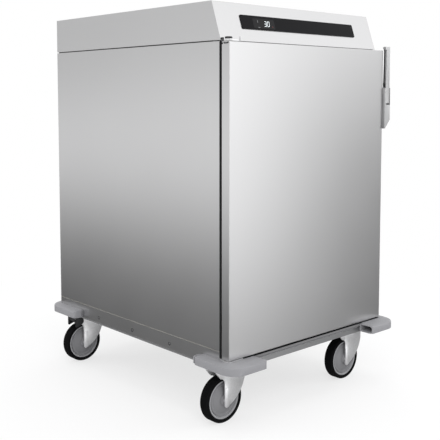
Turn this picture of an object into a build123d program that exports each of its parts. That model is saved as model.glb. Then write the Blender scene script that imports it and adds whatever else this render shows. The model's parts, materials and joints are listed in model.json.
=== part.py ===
"""Heated banquet cart: an insulated stainless cabinet on four swivel casters.

The origin is on the floor under the middle of the bumpers. +Z is up, the door
faces -Y and the width runs along X. All sizes are in millimetres.
"""

import os
from math import cos, degrees, hypot, radians, sin, sqrt

from build123d import *

os.makedirs("parts", exist_ok=True)

# Overall size, over the bumpers
overall_width = 685
overall_depth = 887
overall_height = 1104

# Sheet metal, insulation and clearances
sheet = 1.2
liner_sheet = 1.0
floor_insulation = 33
roof_insulation = 33
side_insulation = 29.8
rear_insulation = 34.8
free_gap = 0.3
running_gap = 0.05

# Chassis
caster_height = 160
chassis_height = 32
chassis_wall = 2.5
chassis_flange = 28
cross_member_width = 36
cross_member_y = 130
gusset_size = 122

# Bumpers
bumper_reach = 28.5
bumper_lift = 3.5
bumper_height = 24
bumper_radius = 45
bumper_wall = 3.5
bumper_back = 3
bumper_side_arm = 155
bumper_front_arm = 124.5
bumper_top_rise = 4
bumper_top_slope = 11
bumper_end_radius = 12
bumper_arch = 6

# Cabinet body
skirt_drop = 5.5
skirt_height = 42
skirt_seam = 0.8
seam_gap = 3

# Rivets of the skirts
rivet_pitch = 174
rivet_middle_y = 20
rivet_rise = 15.5
rivet_radius = 3.2
rivet_shank = 1.6
rivet_head = 1.2

# Drip sill under the door
sill_height = 15.5
sill_drop = 3
sill_wall = 1.5
sill_lip = 2
sill_inset = 1

# Door
door_setback = 46.5
door_thickness = 27.5
door_under_gap = 2.5
door_skin = 1.0
door_corner_radius = 1.5
gasket_space = 6
gasket_width = 14
gasket_lap = 13
gasket_base = 1.5
gasket_bulb_width = 10
gasket_bulb_radius = 2
emboss_depth = 3
emboss_margin = 70

# Door hinges
hinge_inset_x = 10
hinge_inset_y = 14
hinge_pin_radius = 5
hinge_pin_reach = 17
hinge_head_radius = 8
hinge_head = 2.5
hinge_plate_width = 40
hinge_plate_depth = 60
hinge_bracket_width = 50
hinge_boss_radius = 14
bush_radius = 8
bush_flange_radius = 11
bush_flange = 0.8
bush_length = 20

# Top housing and its fascia
housing_height = 100
fascia_overhang = 1.5
fascia_lean = 34
housing_lip = 12
seal_inset = 4
seal_width = 14

# Control panel
panel_width = 458
panel_height = 39
panel_drop = 52
panel_thickness = 2
panel_radius = 4
panel_land = 6
controller_width = 72
controller_height = 25
controller_depth = 62
controller_x = -141

# Rear of the cart
grip_width = 130
grip_height = 92
grip_depth = 29
grip_flange = 9
grip_lip = 34
grip_x = 165
grip_drop = 141
vent_width = 180
vent_height = 58
vent_margin = 8
vent_slots = 5
vent_pitch = 9
vent_slot_width = 150
louvre_height = 6
louvre_proud = 4
vent_inset = 164
gland_inset = 124
gland_hex = 15
gland_hex_height = 6
gland_radius = 12
gland_length = 14
gland_tail_radius = 9
gland_tail = 12
gland_bore = 5
rear_fitting_rise = 50

# Tray racks
level_pitch = 74
first_level = 72
ledge_width = 22
ledge_lip = 12
rack_sheet = 1.5
rack_depth = 11
upright_width = 25
runner_front_gap = 12
runner_back_gap = 22.3
upright_inset = 60
upright_end_gap = 10

# Air duct, fan and heater
baffle_sheet = 1.2
duct_depth = 66
plenum_height = 40
baffle_reach = 330
baffle_foot = 26
slot_width = 60
slot_height = 8
slot_pitch = 52
slot_inset = 77
intake_holes = 8
intake_ring_radius = 38
intake_hole_radius = 12
intake_eye_radius = 18
fan_setback = 165
fan_roof_gap = 6
fan_radius = 72
fan_height = 26
fan_blades = 12
blade_inner_radius = 44
blade_sweep = 28
blade_sheet = 1.6
inlet_ring_width = 14
fan_hub_radius = 12
shaft_radius = 4
shaft_end_gap = 1
shaft_hole_radius = 14
motor_radius = 41
motor_height = 62
motor_flange_radius = 54
motor_flange = 4
motor_socket = 30
heater_ring_radius = 92
heater_radius = 4.2
heater_gap_angle = 24
heater_stub = 30
heater_nut_radius = 9
heater_nut = 6
probe_radius = 3
probe_length = 55
probe_flange_radius = 8
probe_flange = 3
probe_x = 120
probe_drop = 265.8

# Latch on the door's free edge
latch_width = 27
latch_proud = 9
latch_back = 2.5
latch_drop = 112
latch_height = 122
latch_taper = 26
latch_tip_width = 4
latch_edge_radius = 2
slot_length = 51
slot_left = 6
slot_right = 1.8
slot_depth = 26
slot_clearance = 0.4
latch_pin_radius = 3
lever_rise = 122
lever_thickness = 13
lever_inset = 1
lever_pivot_back = 12
lever_pivot_drop = 33
lever_curl = 4
lever_curl_height = 9
grip_strip = 2
grip_strip_gap = 7
claw_width = 8
claw_height = 9
claw_hook = 7
claw_reach = 47
claw_nose = 7
strike_sheet = 2
strike_gap = 0.5
strike_width = 15
strike_length = 50
strike_height = 30
keeper_sheet = 4

# Casters
swivel_side_inset = 64
swivel_front_inset = 43.5
swivel_rear_inset = 55
trail = 22
wheel_radius = 62.5
tyre_thickness = 10.5
tyre_width = 32
tyre_shoulder = 4
rim_width = 27
rim_lip = 5
rim_groove = 3
rim_groove_depth = 3
rim_web = 22
rim_dish = 1
hub_radius = 15
hub_width = 35
axle_radius = 6
plate_x = 105
plate_y = 85
plate_sheet = 3
plate_radius = 9
bolt_x = 80
bolt_y = 60
bolt_radius = 4
bolt_hole_radius = 4.3
bolt_head = 4.5
bolt_head_radius = 7
nut_height = 6.5
race_radius = 27
race_height = 2.7
kingpin_radius = 8
kingpin_head_radius = 14
kingpin_head = 4.5
crown_radius = 33
crown_height = 18
fork_sheet = 3
fork_inner = 18.5
bridge_sheet = 4
leg_top_left = -58
leg_top_right = 46
leg_ear_height = 12
leg_arch = 14
leg_edge_left = 5
leg_tip_drop = 20
leg_back_rise = 76
leg_back_radius = 94
leg_rib_width = 15
leg_rib_proud = 1.6
leg_rib_length = 53

# Brake pedals on the rear casters
pedal_pivot_x = -42
pedal_pivot_z = 130
pedal_hub_radius = 5.5
pedal_pin_radius = 2.5
pedal_length = 30
pedal_rise = 11
pedal_thickness = 8
pedal_width = 36

# Planes and faces worked out from the sizes above
half_width = overall_width / 2 - bumper_reach
inner_half = half_width - sheet
front_y = -overall_depth / 2
rear_y = overall_depth / 2 - bumper_reach
back_inner_y = rear_y - sheet
door_front_y = front_y + door_setback
door_back_y = door_front_y + door_thickness
frame_y = door_back_y + gasket_space
frame_back_y = frame_y + sheet
sill_front_y = door_front_y - sill_inset

chassis_top = caster_height + chassis_height
bumper_bottom = caster_height + bumper_lift
bumper_top = bumper_bottom + bumper_height
housing_bottom = overall_height - housing_height
body_top = housing_bottom - seam_gap
roof_under = body_top - sheet
seam = (body_top, housing_bottom)
door_bottom = bumper_top + door_under_gap
door_top = body_top - free_gap - bush_flange
skirt_bottom = caster_height + skirt_drop
skirt_top = skirt_bottom + skirt_height
sill_bottom = caster_height + sill_drop
sill_top = sill_bottom + sill_height

liner_half = inner_half - side_insulation
cavity_half = liner_half - liner_sheet
cavity_floor = chassis_top + sheet + floor_insulation + liner_sheet
cavity_top = roof_under - roof_insulation - liner_sheet
cavity_back = back_inner_y - rear_insulation - liner_sheet
baffle_y = cavity_back - duct_depth
baffle_z = cavity_top - plenum_height

fan_y = baffle_y - fan_setback
fan_top = cavity_top - fan_roof_gap
fan_bottom = fan_top - fan_height
heater_z = fan_top - fan_height / 2
heater_hole = heater_radius + free_gap
slope = hypot(fascia_lean, housing_height)
fascia_foot_y = frame_y - fascia_overhang
fascia_head_y = fascia_foot_y + fascia_lean
rear_fitting_z = housing_bottom + rear_fitting_rise
vent_x = vent_inset - half_width
gland_x = half_width - gland_inset
grip_z = body_top - grip_drop
probe_z = cavity_top - probe_drop

pivot_x = -half_width + hinge_inset_x
pivot_y = door_back_y - hinge_inset_y
latch_front_y = door_front_y - latch_proud
latch_back_y = door_back_y - latch_back
latch_right = half_width + latch_width
latch_top = body_top - latch_drop
latch_bottom = latch_top - latch_height
slot_bottom = latch_top - slot_length
lever_top = latch_top + lever_rise
lever_pivot_z = latch_top - lever_pivot_drop
grip_strip_bottom = latch_top + grip_strip_gap
lever_front_y = latch_front_y + lever_inset
lever_pivot_y = lever_front_y + lever_pivot_back
lever_left = half_width + slot_left + slot_clearance
lever_right = latch_right - slot_right - slot_clearance
claw_end_y = lever_pivot_y + claw_reach

swivel_x = half_width - swivel_side_inset
swivel_front_y = frame_y + swivel_front_inset
swivel_rear_y = rear_y - swivel_rear_inset
wheel_x = -trail
wheel_z = wheel_radius
rim_radius = wheel_radius - tyre_thickness
crown_top = caster_height - plate_sheet - race_height - free_gap
crown_bottom = crown_top - crown_height
pin_head_top = crown_bottom - free_gap

# Points nearer than this are the same point
same = 0.01


def block(x, y, z, mode=Mode.ADD):
    """Add or cut a rectangular block between the given low and high values."""
    with Locations(((x[0] + x[1]) / 2, (y[0] + y[1]) / 2, (z[0] + z[1]) / 2)):
        Box(abs(x[1] - x[0]), abs(y[1] - y[0]), abs(z[1] - z[0]), mode=mode)


def rod(x, y, z, radius, mode=Mode.ADD):
    """Add or cut an upright cylinder between two heights."""
    with Locations((x, y, (z[0] + z[1]) / 2)):
        Cylinder(radius, abs(z[1] - z[0]), mode=mode)


def crosswise(x, y, z, radius, mode=Mode.ADD):
    """Add or cut a cylinder along X between two values of X."""
    with Locations(Location(((x[0] + x[1]) / 2, y, z), (0, 90, 0))):
        Cylinder(radius, abs(x[1] - x[0]), mode=mode)


def lengthwise(x, y, z, radius, mode=Mode.ADD):
    """Add or cut a cylinder along Y between two values of Y."""
    with Locations(Location((x, (y[0] + y[1]) / 2, z), (90, 0, 0))):
        Cylinder(radius, abs(y[1] - y[0]), mode=mode)


def both(half):
    """The low and high values of a span that is centred on zero."""
    return (-half, half)


def around(middle, size):
    """The low and high values of a span about its middle."""
    return (middle - size / 2, middle + size / 2)


def polar(radius, angle):
    """A point at a radius and an angle in degrees."""
    return (radius * cos(radians(angle)), radius * sin(radians(angle)))


def finish(piece, name):
    """Label a finished piece and write its file."""
    piece.part.label = name
    export_step(piece.part, f"parts/{name}.step")


def fascia_plane(down):
    """A plane on the leaning fascia: X across, Y up its slope and Z out of its face."""
    share = down / slope
    middle = (0, fascia_head_y - fascia_lean * share, overall_height - housing_height * share)
    return Plane(origin=middle, x_dir=(1, 0, 0), z_dir=(0, -housing_height, fascia_lean))


def rear_plane(y, z=0):
    """An upright plane that faces backward, seen with its X to the cart's left."""
    return Plane(origin=(0, y, z), x_dir=(-1, 0, 0), z_dir=(0, 1, 0))


swivels = {
    "front_left": (-swivel_x, swivel_front_y),
    "front_right": (swivel_x, swivel_front_y),
    "rear_left": (-swivel_x, swivel_rear_y),
    "rear_right": (swivel_x, swivel_rear_y),
}
heater_ends = [
    (end[0], fan_y + end[1])
    for end in (polar(heater_ring_radius, 90 + turn * heater_gap_angle / 2) for turn in (-1, 1))
]


# Chassis: a welded ring of channel with cross members and corner gussets
with BuildPart() as chassis:
    tall = (caster_height, chassis_top)
    hollow = (caster_height + chassis_wall, chassis_top - chassis_wall)
    block(both(inner_half), (frame_y, back_inner_y), tall)
    inside_y = (frame_y + chassis_wall, back_inner_y - chassis_wall)
    block(both(inner_half - chassis_wall), inside_y, hollow, Mode.SUBTRACT)
    inside_y = (frame_y + chassis_flange, back_inner_y - chassis_flange)
    block(both(inner_half - chassis_flange), inside_y, tall, Mode.SUBTRACT)
    for side in (-1, 1):
        member = around(side * cross_member_y, cross_member_width)
        block(both(inner_half - chassis_wall), member, tall)
        member = around(side * cross_member_y, cross_member_width - chassis_wall * 2)
        block(both(inner_half - chassis_wall), member, hollow, Mode.SUBTRACT)
    for x, y in swivels.values():
        side = 1 if x > 0 else -1
        gusset_x = sorted((side * inner_half, side * (inner_half - gusset_size)))
        gusset_y = (frame_y, frame_y + gusset_size)
        if y > 0:
            gusset_y = (back_inner_y - gusset_size, back_inner_y)
        block(gusset_x, gusset_y, (caster_height, caster_height + chassis_wall))
        with Locations((x, y, caster_height)):
            with GridLocations(bolt_x, bolt_y, 2, 2):
                Cylinder(bolt_hole_radius, chassis_wall * 4, mode=Mode.SUBTRACT)
finish(chassis, "chassis_frame")

# Drip sill: an open channel under the door, closed on top where the bumpers seat
with BuildPart() as sill:
    with BuildSketch(Plane.YZ):
        with BuildLine():
            Polyline(
                (frame_y, sill_top),
                (frame_y, sill_bottom),
                (sill_front_y, sill_bottom),
                (sill_front_y, sill_top - sill_lip),
                (sill_front_y - sill_lip, sill_top - sill_lip),
                (sill_front_y - sill_lip, sill_top),
                (sill_front_y + sill_wall, sill_top),
                (sill_front_y + sill_wall, sill_bottom + sill_wall),
                (frame_y - sill_wall, sill_bottom + sill_wall),
                (frame_y - sill_wall, sill_top),
                close=True,
            )
        make_face()
    extrude(amount=half_width, both=True)
    for side in (-1, 1):
        end_x = sorted((side * (overall_width / 2 - bumper_front_arm), side * half_width))
        lip_y = (sill_front_y - sill_lip, sill_front_y)
        block(end_x, lip_y, (sill_top - sill_lip, sill_top), Mode.SUBTRACT)
        block(end_x, (sill_front_y, frame_y), (sill_top - sill_wall, sill_top))
finish(sill, "drip_sill")

# Side skirts along the chassis, one solid a side, with holes for the rivets
rivet_spots = [rivet_middle_y + step * rivet_pitch for step in (-1, 0, 1)]
rivet_z = skirt_bottom + rivet_rise
with BuildPart() as skirts:
    for side in (-1, 1):
        skirt_x = sorted((side * inner_half, side * half_width))
        block(skirt_x, (frame_back_y, rear_y), (skirt_bottom, skirt_top))
    for y in rivet_spots:
        crosswise(both(half_width), y, rivet_z, rivet_shank + running_gap, Mode.SUBTRACT)
finish(skirts, "side_skirts")

# Rivets: domed heads on the skirts with shanks that reach the chassis
with BuildPart() as rivets:
    for side in (-1, 1):
        for y in rivet_spots:
            crosswise(sorted((side * inner_half, side * half_width)), y, rivet_z, rivet_shank)
            head = (side * (half_width + rivet_head / 2), y, rivet_z)
            with Locations(Location(head, (0, 90 * side, 0))):
                Cone(rivet_radius, rivet_radius / 2, rivet_head)
finish(rivets, "skirt_rivets")

# Outer skins of the cabinet
with BuildPart() as floor_pan:
    block(both(inner_half), (frame_back_y, back_inner_y), (chassis_top, chassis_top + sheet))
finish(floor_pan, "floor_pan")

for name, side in (("left_side_panel", -1), ("right_side_panel", 1)):
    with BuildPart() as panel:
        panel_x = sorted((side * inner_half, side * half_width))
        block(panel_x, (frame_back_y, rear_y), (skirt_top + skirt_seam, body_top))
    finish(panel, name)

with BuildPart() as front_frame:
    block(both(half_width), (frame_y, frame_back_y), (chassis_top, body_top))
    block(both(cavity_half), (frame_y, frame_back_y), (cavity_floor, cavity_top), Mode.SUBTRACT)
finish(front_frame, "front_frame")


def grip_pocket(depth_y):
    """Cut the space that the two rear grips take between two values of Y."""
    for side in (-1, 1):
        pan_x = around(side * grip_x, grip_width + sheet * 2)
        block(pan_x, depth_y, around(grip_z, grip_height + sheet * 2), Mode.SUBTRACT)


def roof_holes(z):
    """Cut the fan shaft's hole and the heater's two holes between two heights."""
    rod(0, fan_y, z, shaft_hole_radius, Mode.SUBTRACT)
    for x, y in heater_ends:
        rod(x, y, z, heater_hole, Mode.SUBTRACT)


with BuildPart() as back_panel:
    block(both(inner_half), (back_inner_y, rear_y), (skirt_bottom, body_top))
    grip_pocket((back_inner_y, rear_y))
finish(back_panel, "back_panel")

with BuildPart() as roof:
    block(both(inner_half), (frame_back_y, back_inner_y), (roof_under, body_top))
    roof_holes((roof_under, body_top))
finish(roof, "roof_panel")

# Insulation between the skins and the liner, with pockets for the rear grips
liner_z = (cavity_floor - liner_sheet, cavity_top + liner_sheet)
with BuildPart() as insulation:
    block(both(inner_half), (frame_back_y, back_inner_y), (chassis_top + sheet, roof_under))
    block(both(liner_half), (frame_back_y, cavity_back + liner_sheet), liner_z, Mode.SUBTRACT)
    grip_pocket((rear_y - grip_depth - sheet, back_inner_y))
    roof_holes((cavity_top, body_top))
finish(insulation, "insulation")

# Inner liner: a box that is open to the front
with BuildPart() as liner:
    block(both(liner_half), (frame_back_y, cavity_back + liner_sheet), liner_z)
    cavity_y = (frame_back_y, cavity_back)
    block(both(cavity_half), cavity_y, (cavity_floor, cavity_top), Mode.SUBTRACT)
    roof_holes((cavity_top, body_top))
finish(liner, "inner_liner")

# Air baffle: a folded sheet with outlet slots in its wall and the fan's intake above
baffle_front = baffle_y - baffle_reach
baffle_bottom = cavity_floor + baffle_foot
slot_x = cavity_half - slot_inset
slot_rows = int((baffle_z - baffle_bottom) / slot_pitch) - 1
with BuildPart() as baffle:
    with BuildSketch(Plane.YZ):
        with BuildLine():
            Polyline(
                (baffle_y, baffle_bottom),
                (baffle_y, baffle_z),
                (baffle_front, baffle_z),
                (baffle_front, cavity_top),
                (baffle_front - baffle_sheet, cavity_top),
                (baffle_front - baffle_sheet, baffle_z - baffle_sheet),
                (baffle_y - baffle_sheet, baffle_z - baffle_sheet),
                (baffle_y - baffle_sheet, baffle_bottom),
                close=True,
            )
        make_face()
    extrude(amount=cavity_half, both=True)
    with BuildSketch(Plane.XZ.offset(-baffle_y)):
        slot_middle_z = (baffle_bottom + baffle_z) / 2
        with Locations((-slot_x, slot_middle_z), (slot_x, slot_middle_z)):
            with GridLocations(slot_width, slot_pitch, 1, slot_rows):
                SlotOverall(slot_width, slot_height)
    extrude(amount=baffle_sheet, mode=Mode.SUBTRACT)
    with BuildSketch(Plane.XY.offset(baffle_z)):
        with Locations((0, fan_y)):
            Circle(intake_eye_radius)
            with PolarLocations(intake_ring_radius, intake_holes):
                Circle(intake_hole_radius)
    extrude(amount=-baffle_sheet, mode=Mode.SUBTRACT)
finish(baffle, "air_baffle")

# Tray racks: channel uprights on the liner walls that carry angle runners
runner_y = frame_back_y + runner_front_gap
runner_length = baffle_y - runner_back_gap - runner_y
ledge_x = cavity_half - rack_depth
runner_x = ledge_x - running_gap
upright_y = [
    runner_y + upright_inset,
    runner_y + runner_length / 2,
    runner_y + runner_length - upright_inset,
]
upright_z = (cavity_floor + upright_end_gap, baffle_z - baffle_sheet - upright_end_gap)
level_space = baffle_z - baffle_sheet - cavity_floor - first_level
tray_levels = int(level_space / level_pitch) + 1
levels = [cavity_floor + first_level + level * level_pitch for level in range(tray_levels)]


def runner_section(side, z):
    """Section of one runner in X and Z: a tray ledge with its lip folded down the upright."""
    return [
        (side * runner_x, z),
        (side * (runner_x - ledge_width), z),
        (side * (runner_x - ledge_width), z - rack_sheet),
        (side * (runner_x - rack_sheet), z - rack_sheet),
        (side * (runner_x - rack_sheet), z - ledge_lip),
        (side * runner_x, z - ledge_lip),
    ]


for name, side in (("left_rack", -1), ("right_rack", 1)):
    with BuildPart() as rack:
        for y in upright_y:
            web_x = sorted((side * ledge_x, side * cavity_half))
            block(web_x, around(y, upright_width), upright_z)
            web_x = sorted((side * (ledge_x + rack_sheet), side * cavity_half))
            block(web_x, around(y, upright_width - rack_sheet * 2), upright_z, Mode.SUBTRACT)
        with BuildSketch(Plane.XZ.offset(-runner_y)):
            for level in levels:
                with BuildLine():
                    Polyline(*runner_section(side, level), close=True)
                make_face()
        extrude(amount=-runner_length)
    finish(rack, name)

# Heater: a ring round the fan whose two ends go up through the roof
start = Vector(*polar(1, 90 + heater_gap_angle / 2))
with BuildPart() as heater:
    ring_origin = (0, fan_y, heater_z)
    with BuildSketch(Plane(origin=ring_origin, x_dir=start, z_dir=(start.Y, -start.X, 0))):
        with Locations((heater_ring_radius, 0)):
            Circle(heater_radius)
    revolve(axis=Axis(ring_origin, (0, 0, 1)), revolution_arc=360 - heater_gap_angle)
    for x, y in heater_ends:
        with Locations((x, y, heater_z)):
            Sphere(heater_radius + running_gap)
        rod(x, y, (heater_z, body_top + heater_stub), heater_radius)
        rod(x, y, (body_top, body_top + heater_nut), heater_nut_radius)
finish(heater, "heater_element")

# Temperature probe on the liner's back wall, inside the duct
with BuildPart() as probe:
    lengthwise(probe_x, (cavity_back - probe_length, cavity_back), probe_z, probe_radius)
    lengthwise(probe_x, (cavity_back - probe_flange, cavity_back), probe_z, probe_flange_radius)
finish(probe, "temperature_probe")

# Fan motor on the roof panel, with a socket for the shaft
with BuildPart() as motor:
    rod(0, fan_y, (body_top, body_top + motor_flange), motor_flange_radius)
    rod(0, fan_y, (body_top, body_top + motor_height), motor_radius)
    shaft_socket = (body_top, body_top + motor_socket)
    rod(0, fan_y, shaft_socket, shaft_radius + running_gap, Mode.SUBTRACT)
finish(motor, "fan_motor")


def blade_edge(turn):
    """Three points on one face of a fan blade, half its thickness off the middle line."""
    blade_tip_radius = fan_radius - blade_sheet
    points = []
    for share in (0, 0.5, 1):
        radius = blade_inner_radius + (blade_tip_radius - blade_inner_radius) * share
        half_sheet_angle = degrees(blade_sheet / 2 / radius)
        points.append(polar(radius, turn * half_sheet_angle - blade_sweep * share**2))
    return points


# Impeller: backward curved blades between a back plate and an inlet ring, on a shaft
with BuildPart() as impeller:
    with BuildSketch(Plane((0, fan_y, fan_bottom))):
        with BuildLine():
            near = blade_edge(-1)
            far = blade_edge(1)
            ThreePointArc(*near)
            Line(near[-1], far[-1])
            ThreePointArc(*far)
            Line(near[0], far[0])
        blade = make_face(mode=Mode.PRIVATE)
        with PolarLocations(0, fan_blades):
            add(blade)
    extrude(amount=fan_height)
    rod(0, fan_y, (fan_top - blade_sheet, fan_top), fan_radius)
    rod(0, fan_y, (fan_bottom, fan_top), fan_hub_radius)
    with BuildSketch(Plane((0, fan_y, fan_bottom))):
        Circle(fan_radius)
        Circle(fan_radius - inlet_ring_width, mode=Mode.SUBTRACT)
    extrude(amount=blade_sheet)
    shaft_end = body_top + motor_socket - shaft_end_gap
    rod(0, fan_y, (fan_bottom, shaft_end), shaft_radius)
finish(impeller, "impeller")

# Top housing: a sheet metal hood with a leaning fascia and a lip round its open foot
skin = sheet * slope / housing_height
skin_lean = fascia_lean * sheet / housing_height
with BuildPart() as housing:
    with BuildSketch(Plane.YZ):
        with BuildLine():
            Polyline(
                (fascia_foot_y, housing_bottom),
                (fascia_head_y, overall_height),
                (rear_y, overall_height),
                (rear_y, housing_bottom),
                close=True,
            )
        make_face()
    extrude(amount=half_width, both=True)
    with BuildSketch(Plane.YZ):
        with BuildLine():
            Polyline(
                (fascia_foot_y + skin + skin_lean, housing_bottom + sheet),
                (fascia_head_y + skin - skin_lean, overall_height - sheet),
                (back_inner_y, overall_height - sheet),
                (back_inner_y, housing_bottom + sheet),
                close=True,
            )
        make_face()
    extrude(amount=inner_half, both=True, mode=Mode.SUBTRACT)
    foot_y = (fascia_foot_y + housing_lip, rear_y - housing_lip)
    foot_z = (housing_bottom, housing_bottom + sheet)
    block(both(half_width - housing_lip), foot_y, foot_z, Mode.SUBTRACT)
    with BuildSketch(fascia_plane(panel_drop)):
        Rectangle(panel_width - panel_land * 2, panel_height - panel_land * 2)
    extrude(amount=-sheet * 2, mode=Mode.SUBTRACT)
    with BuildSketch(rear_plane(rear_y, rear_fitting_z)):
        with Locations((-vent_x, 0)):
            Rectangle(vent_width - vent_margin * 2, vent_height - vent_margin * 2)
        with Locations((-gland_x, 0)):
            Circle(gland_tail_radius + running_gap)
    extrude(amount=-sheet * 2, mode=Mode.SUBTRACT)
finish(housing, "top_housing")

# Foam seal between the roof and the housing, notched for the hinge plate
plate_end_x = -half_width + hinge_plate_width
plate_end_y = door_front_y + hinge_plate_depth
with BuildPart() as seal:
    seal_y = (fascia_foot_y + seal_inset, rear_y - seal_inset)
    block(both(half_width - seal_inset), seal_y, seam)
    inside_y = (seal_y[0] + seal_width, seal_y[1] - seal_width)
    block(both(half_width - seal_inset - seal_width), inside_y, seam, Mode.SUBTRACT)
    notch_x = (-half_width, plate_end_x + free_gap)
    block(notch_x, (door_front_y, plate_end_y + free_gap), seam, Mode.SUBTRACT)
finish(seal, "housing_seal")

# Control panel: one flat touch panel on the fascia, with its controller behind it
with BuildPart() as control_panel:
    with BuildSketch(fascia_plane(panel_drop)):
        RectangleRounded(panel_width, panel_height, panel_radius)
    extrude(amount=panel_thickness)
finish(control_panel, "control_panel")

with BuildPart() as controller:
    with BuildSketch(fascia_plane(panel_drop)):
        with Locations((controller_x, 0)):
            Rectangle(controller_width, controller_height)
    extrude(amount=-controller_depth)
finish(controller, "controller_box")

# Vent cover: a plate of pressed louvres, each open underneath
vent_out = rear_y + sheet
louvre_z = [rear_fitting_z + vent_pitch * (row - (vent_slots - 1) / 2) for row in range(vent_slots)]
with BuildPart() as vent:
    with BuildSketch(rear_plane(rear_y, rear_fitting_z)):
        with Locations((-vent_x, 0)):
            Rectangle(vent_width, vent_height)
    extrude(amount=sheet)
    with BuildSketch(Plane.YZ.offset(vent_x)):
        for z in louvre_z:
            with BuildLine():
                Polyline(
                    (vent_out, z + louvre_height / 2),
                    (vent_out + louvre_proud, z - louvre_height / 2),
                    (vent_out, z - louvre_height / 2),
                    close=True,
                )
            make_face()
    extrude(amount=vent_slot_width / 2, both=True)
    with BuildSketch(Plane.YZ.offset(vent_x)):
        for z in louvre_z:
            with BuildLine():
                Polyline(
                    (rear_y, z + louvre_height / 2 - sheet),
                    (vent_out, z + louvre_height / 2 - sheet),
                    (vent_out + louvre_proud - sheet, z - louvre_height / 2),
                    (rear_y, z - louvre_height / 2),
                    close=True,
                )
            make_face()
    extrude(amount=vent_slot_width / 2 - sheet, both=True, mode=Mode.SUBTRACT)
finish(vent, "vent_cover")

# Cable gland where the supply cable enters the housing
gland_end_y = rear_y + gland_hex_height + gland_length
gland_start_y = back_inner_y - gland_tail
with BuildPart() as gland:
    lengthwise(gland_x, (rear_y, gland_end_y), rear_fitting_z, gland_radius)
    fillet(gland.faces().sort_by(Axis.Y)[-1].edges(), gland_radius / 3)
    with BuildSketch(rear_plane(rear_y, rear_fitting_z)):
        with Locations((-gland_x, 0)):
            RegularPolygon(gland_hex, 6)
    extrude(amount=gland_hex_height)
    lengthwise(gland_x, (gland_start_y, rear_y), rear_fitting_z, gland_tail_radius)
    lengthwise(gland_x, (gland_start_y, gland_end_y), rear_fitting_z, gland_bore, Mode.SUBTRACT)
finish(gland, "cable_gland")

# Rear grips: recessed pans with a flange on the back panel and a lip to hold
with BuildPart() as grips:
    for side in (-1, 1):
        middle = side * grip_x
        pan_back = rear_y - grip_depth - sheet
        pan_x = around(middle, grip_width + sheet * 2)
        block(pan_x, (pan_back, rear_y), around(grip_z, grip_height + sheet * 2))
        flange_x = around(middle, grip_width + grip_flange * 2)
        flange_z = around(grip_z, grip_height + grip_flange * 2)
        block(flange_x, (rear_y, rear_y + sheet), flange_z)
        pan_y = (pan_back + sheet, rear_y)
        block(around(middle, grip_width), pan_y, around(grip_z, grip_height), Mode.SUBTRACT)
        mouth_z = (grip_z - grip_height / 2, grip_z + grip_height / 2 - grip_lip)
        block(around(middle, grip_width), (rear_y, rear_y + sheet), mouth_z, Mode.SUBTRACT)
finish(grips, "rear_grips")

# Top hinge plate: it lies on the roof, under the housing, and reaches over the door
with BuildPart() as hinge_plate:
    block((-half_width, plate_end_x), (door_front_y, plate_end_y), seam)
    fillet(hinge_plate.edges().filter_by(Axis.Z).group_by(Axis.Y)[0], hinge_inset_x)
    rod(pivot_x, pivot_y, seam, hinge_pin_radius + running_gap, Mode.SUBTRACT)
finish(hinge_plate, "top_hinge_plate")

# Bottom hinge bracket: a block on the sill with a round boss about the pin
bracket_z = (sill_top, door_bottom - bush_flange - free_gap)
with BuildPart() as bracket:
    bracket_x = (-half_width, -half_width + hinge_bracket_width)
    block(bracket_x, (door_front_y, frame_y), bracket_z)
    rod(pivot_x, pivot_y, bracket_z, hinge_boss_radius)
    rod(pivot_x, pivot_y, bracket_z, hinge_pin_radius + running_gap, Mode.SUBTRACT)
finish(bracket, "bottom_hinge_bracket")

# Hinge pins: the lower one stands on the sill, the upper one hangs by its head
with BuildPart() as pins:
    rod(pivot_x, pivot_y, (sill_top, door_bottom + hinge_pin_reach), hinge_pin_radius)
    rod(pivot_x, pivot_y, (door_top - hinge_pin_reach, housing_bottom), hinge_pin_radius)
    pin_head = (housing_bottom, housing_bottom + hinge_head)
    rod(pivot_x, pivot_y, pin_head, hinge_head_radius)
finish(pins, "hinge_pins")

# Strike plate on the right side: the claw comes to rest just over its keeper
claw_bottom = lever_pivot_z - claw_height / 2 - claw_hook
keeper_top = claw_bottom - strike_gap
with BuildPart() as strike:
    strike_x = (half_width, half_width + strike_sheet)
    strike_y = (frame_back_y, frame_back_y + strike_length)
    block(strike_x, strike_y, (keeper_top - strike_height, keeper_top + strike_height))
    fillet(strike.edges().filter_by(Axis.X), strike_sheet * 2)
    keeper_x = (half_width, half_width + strike_width)
    keeper_y = around(claw_end_y - claw_nose / 2, keeper_sheet)
    block(keeper_x, keeper_y, (keeper_top - strike_height / 2, keeper_top))
finish(strike, "strike_plate")


def corner_outline(level, outer, inner, tips, radius):
    """Plan of an L round one corner of the base, given by its outer and inner corner."""
    with BuildSketch(Plane.XY.offset(level)) as plan:
        with BuildLine():
            Polyline(
                (tips[0], outer[1]),
                outer,
                (outer[0], tips[1]),
                (inner[0], tips[1]),
                inner,
                (tips[0], inner[1]),
                close=True,
            )
        make_face()
        fillet(plan.vertices().sort_by_distance(outer)[0], radius)
    return plan.sketch


def outer_edges(face, inner, tips):
    """The edges of a bumper's top face that run along its outer side."""
    edges = []
    for edge in face.edges():
        x = abs(edge.center().X)
        y = abs(edge.center().Y)
        outside = x > abs(inner[0]) + same or y > abs(inner[1]) + same
        if outside and x > abs(tips[0]) + same and y > abs(tips[1]) + same:
            edges.append(edge)
    return edges


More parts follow.
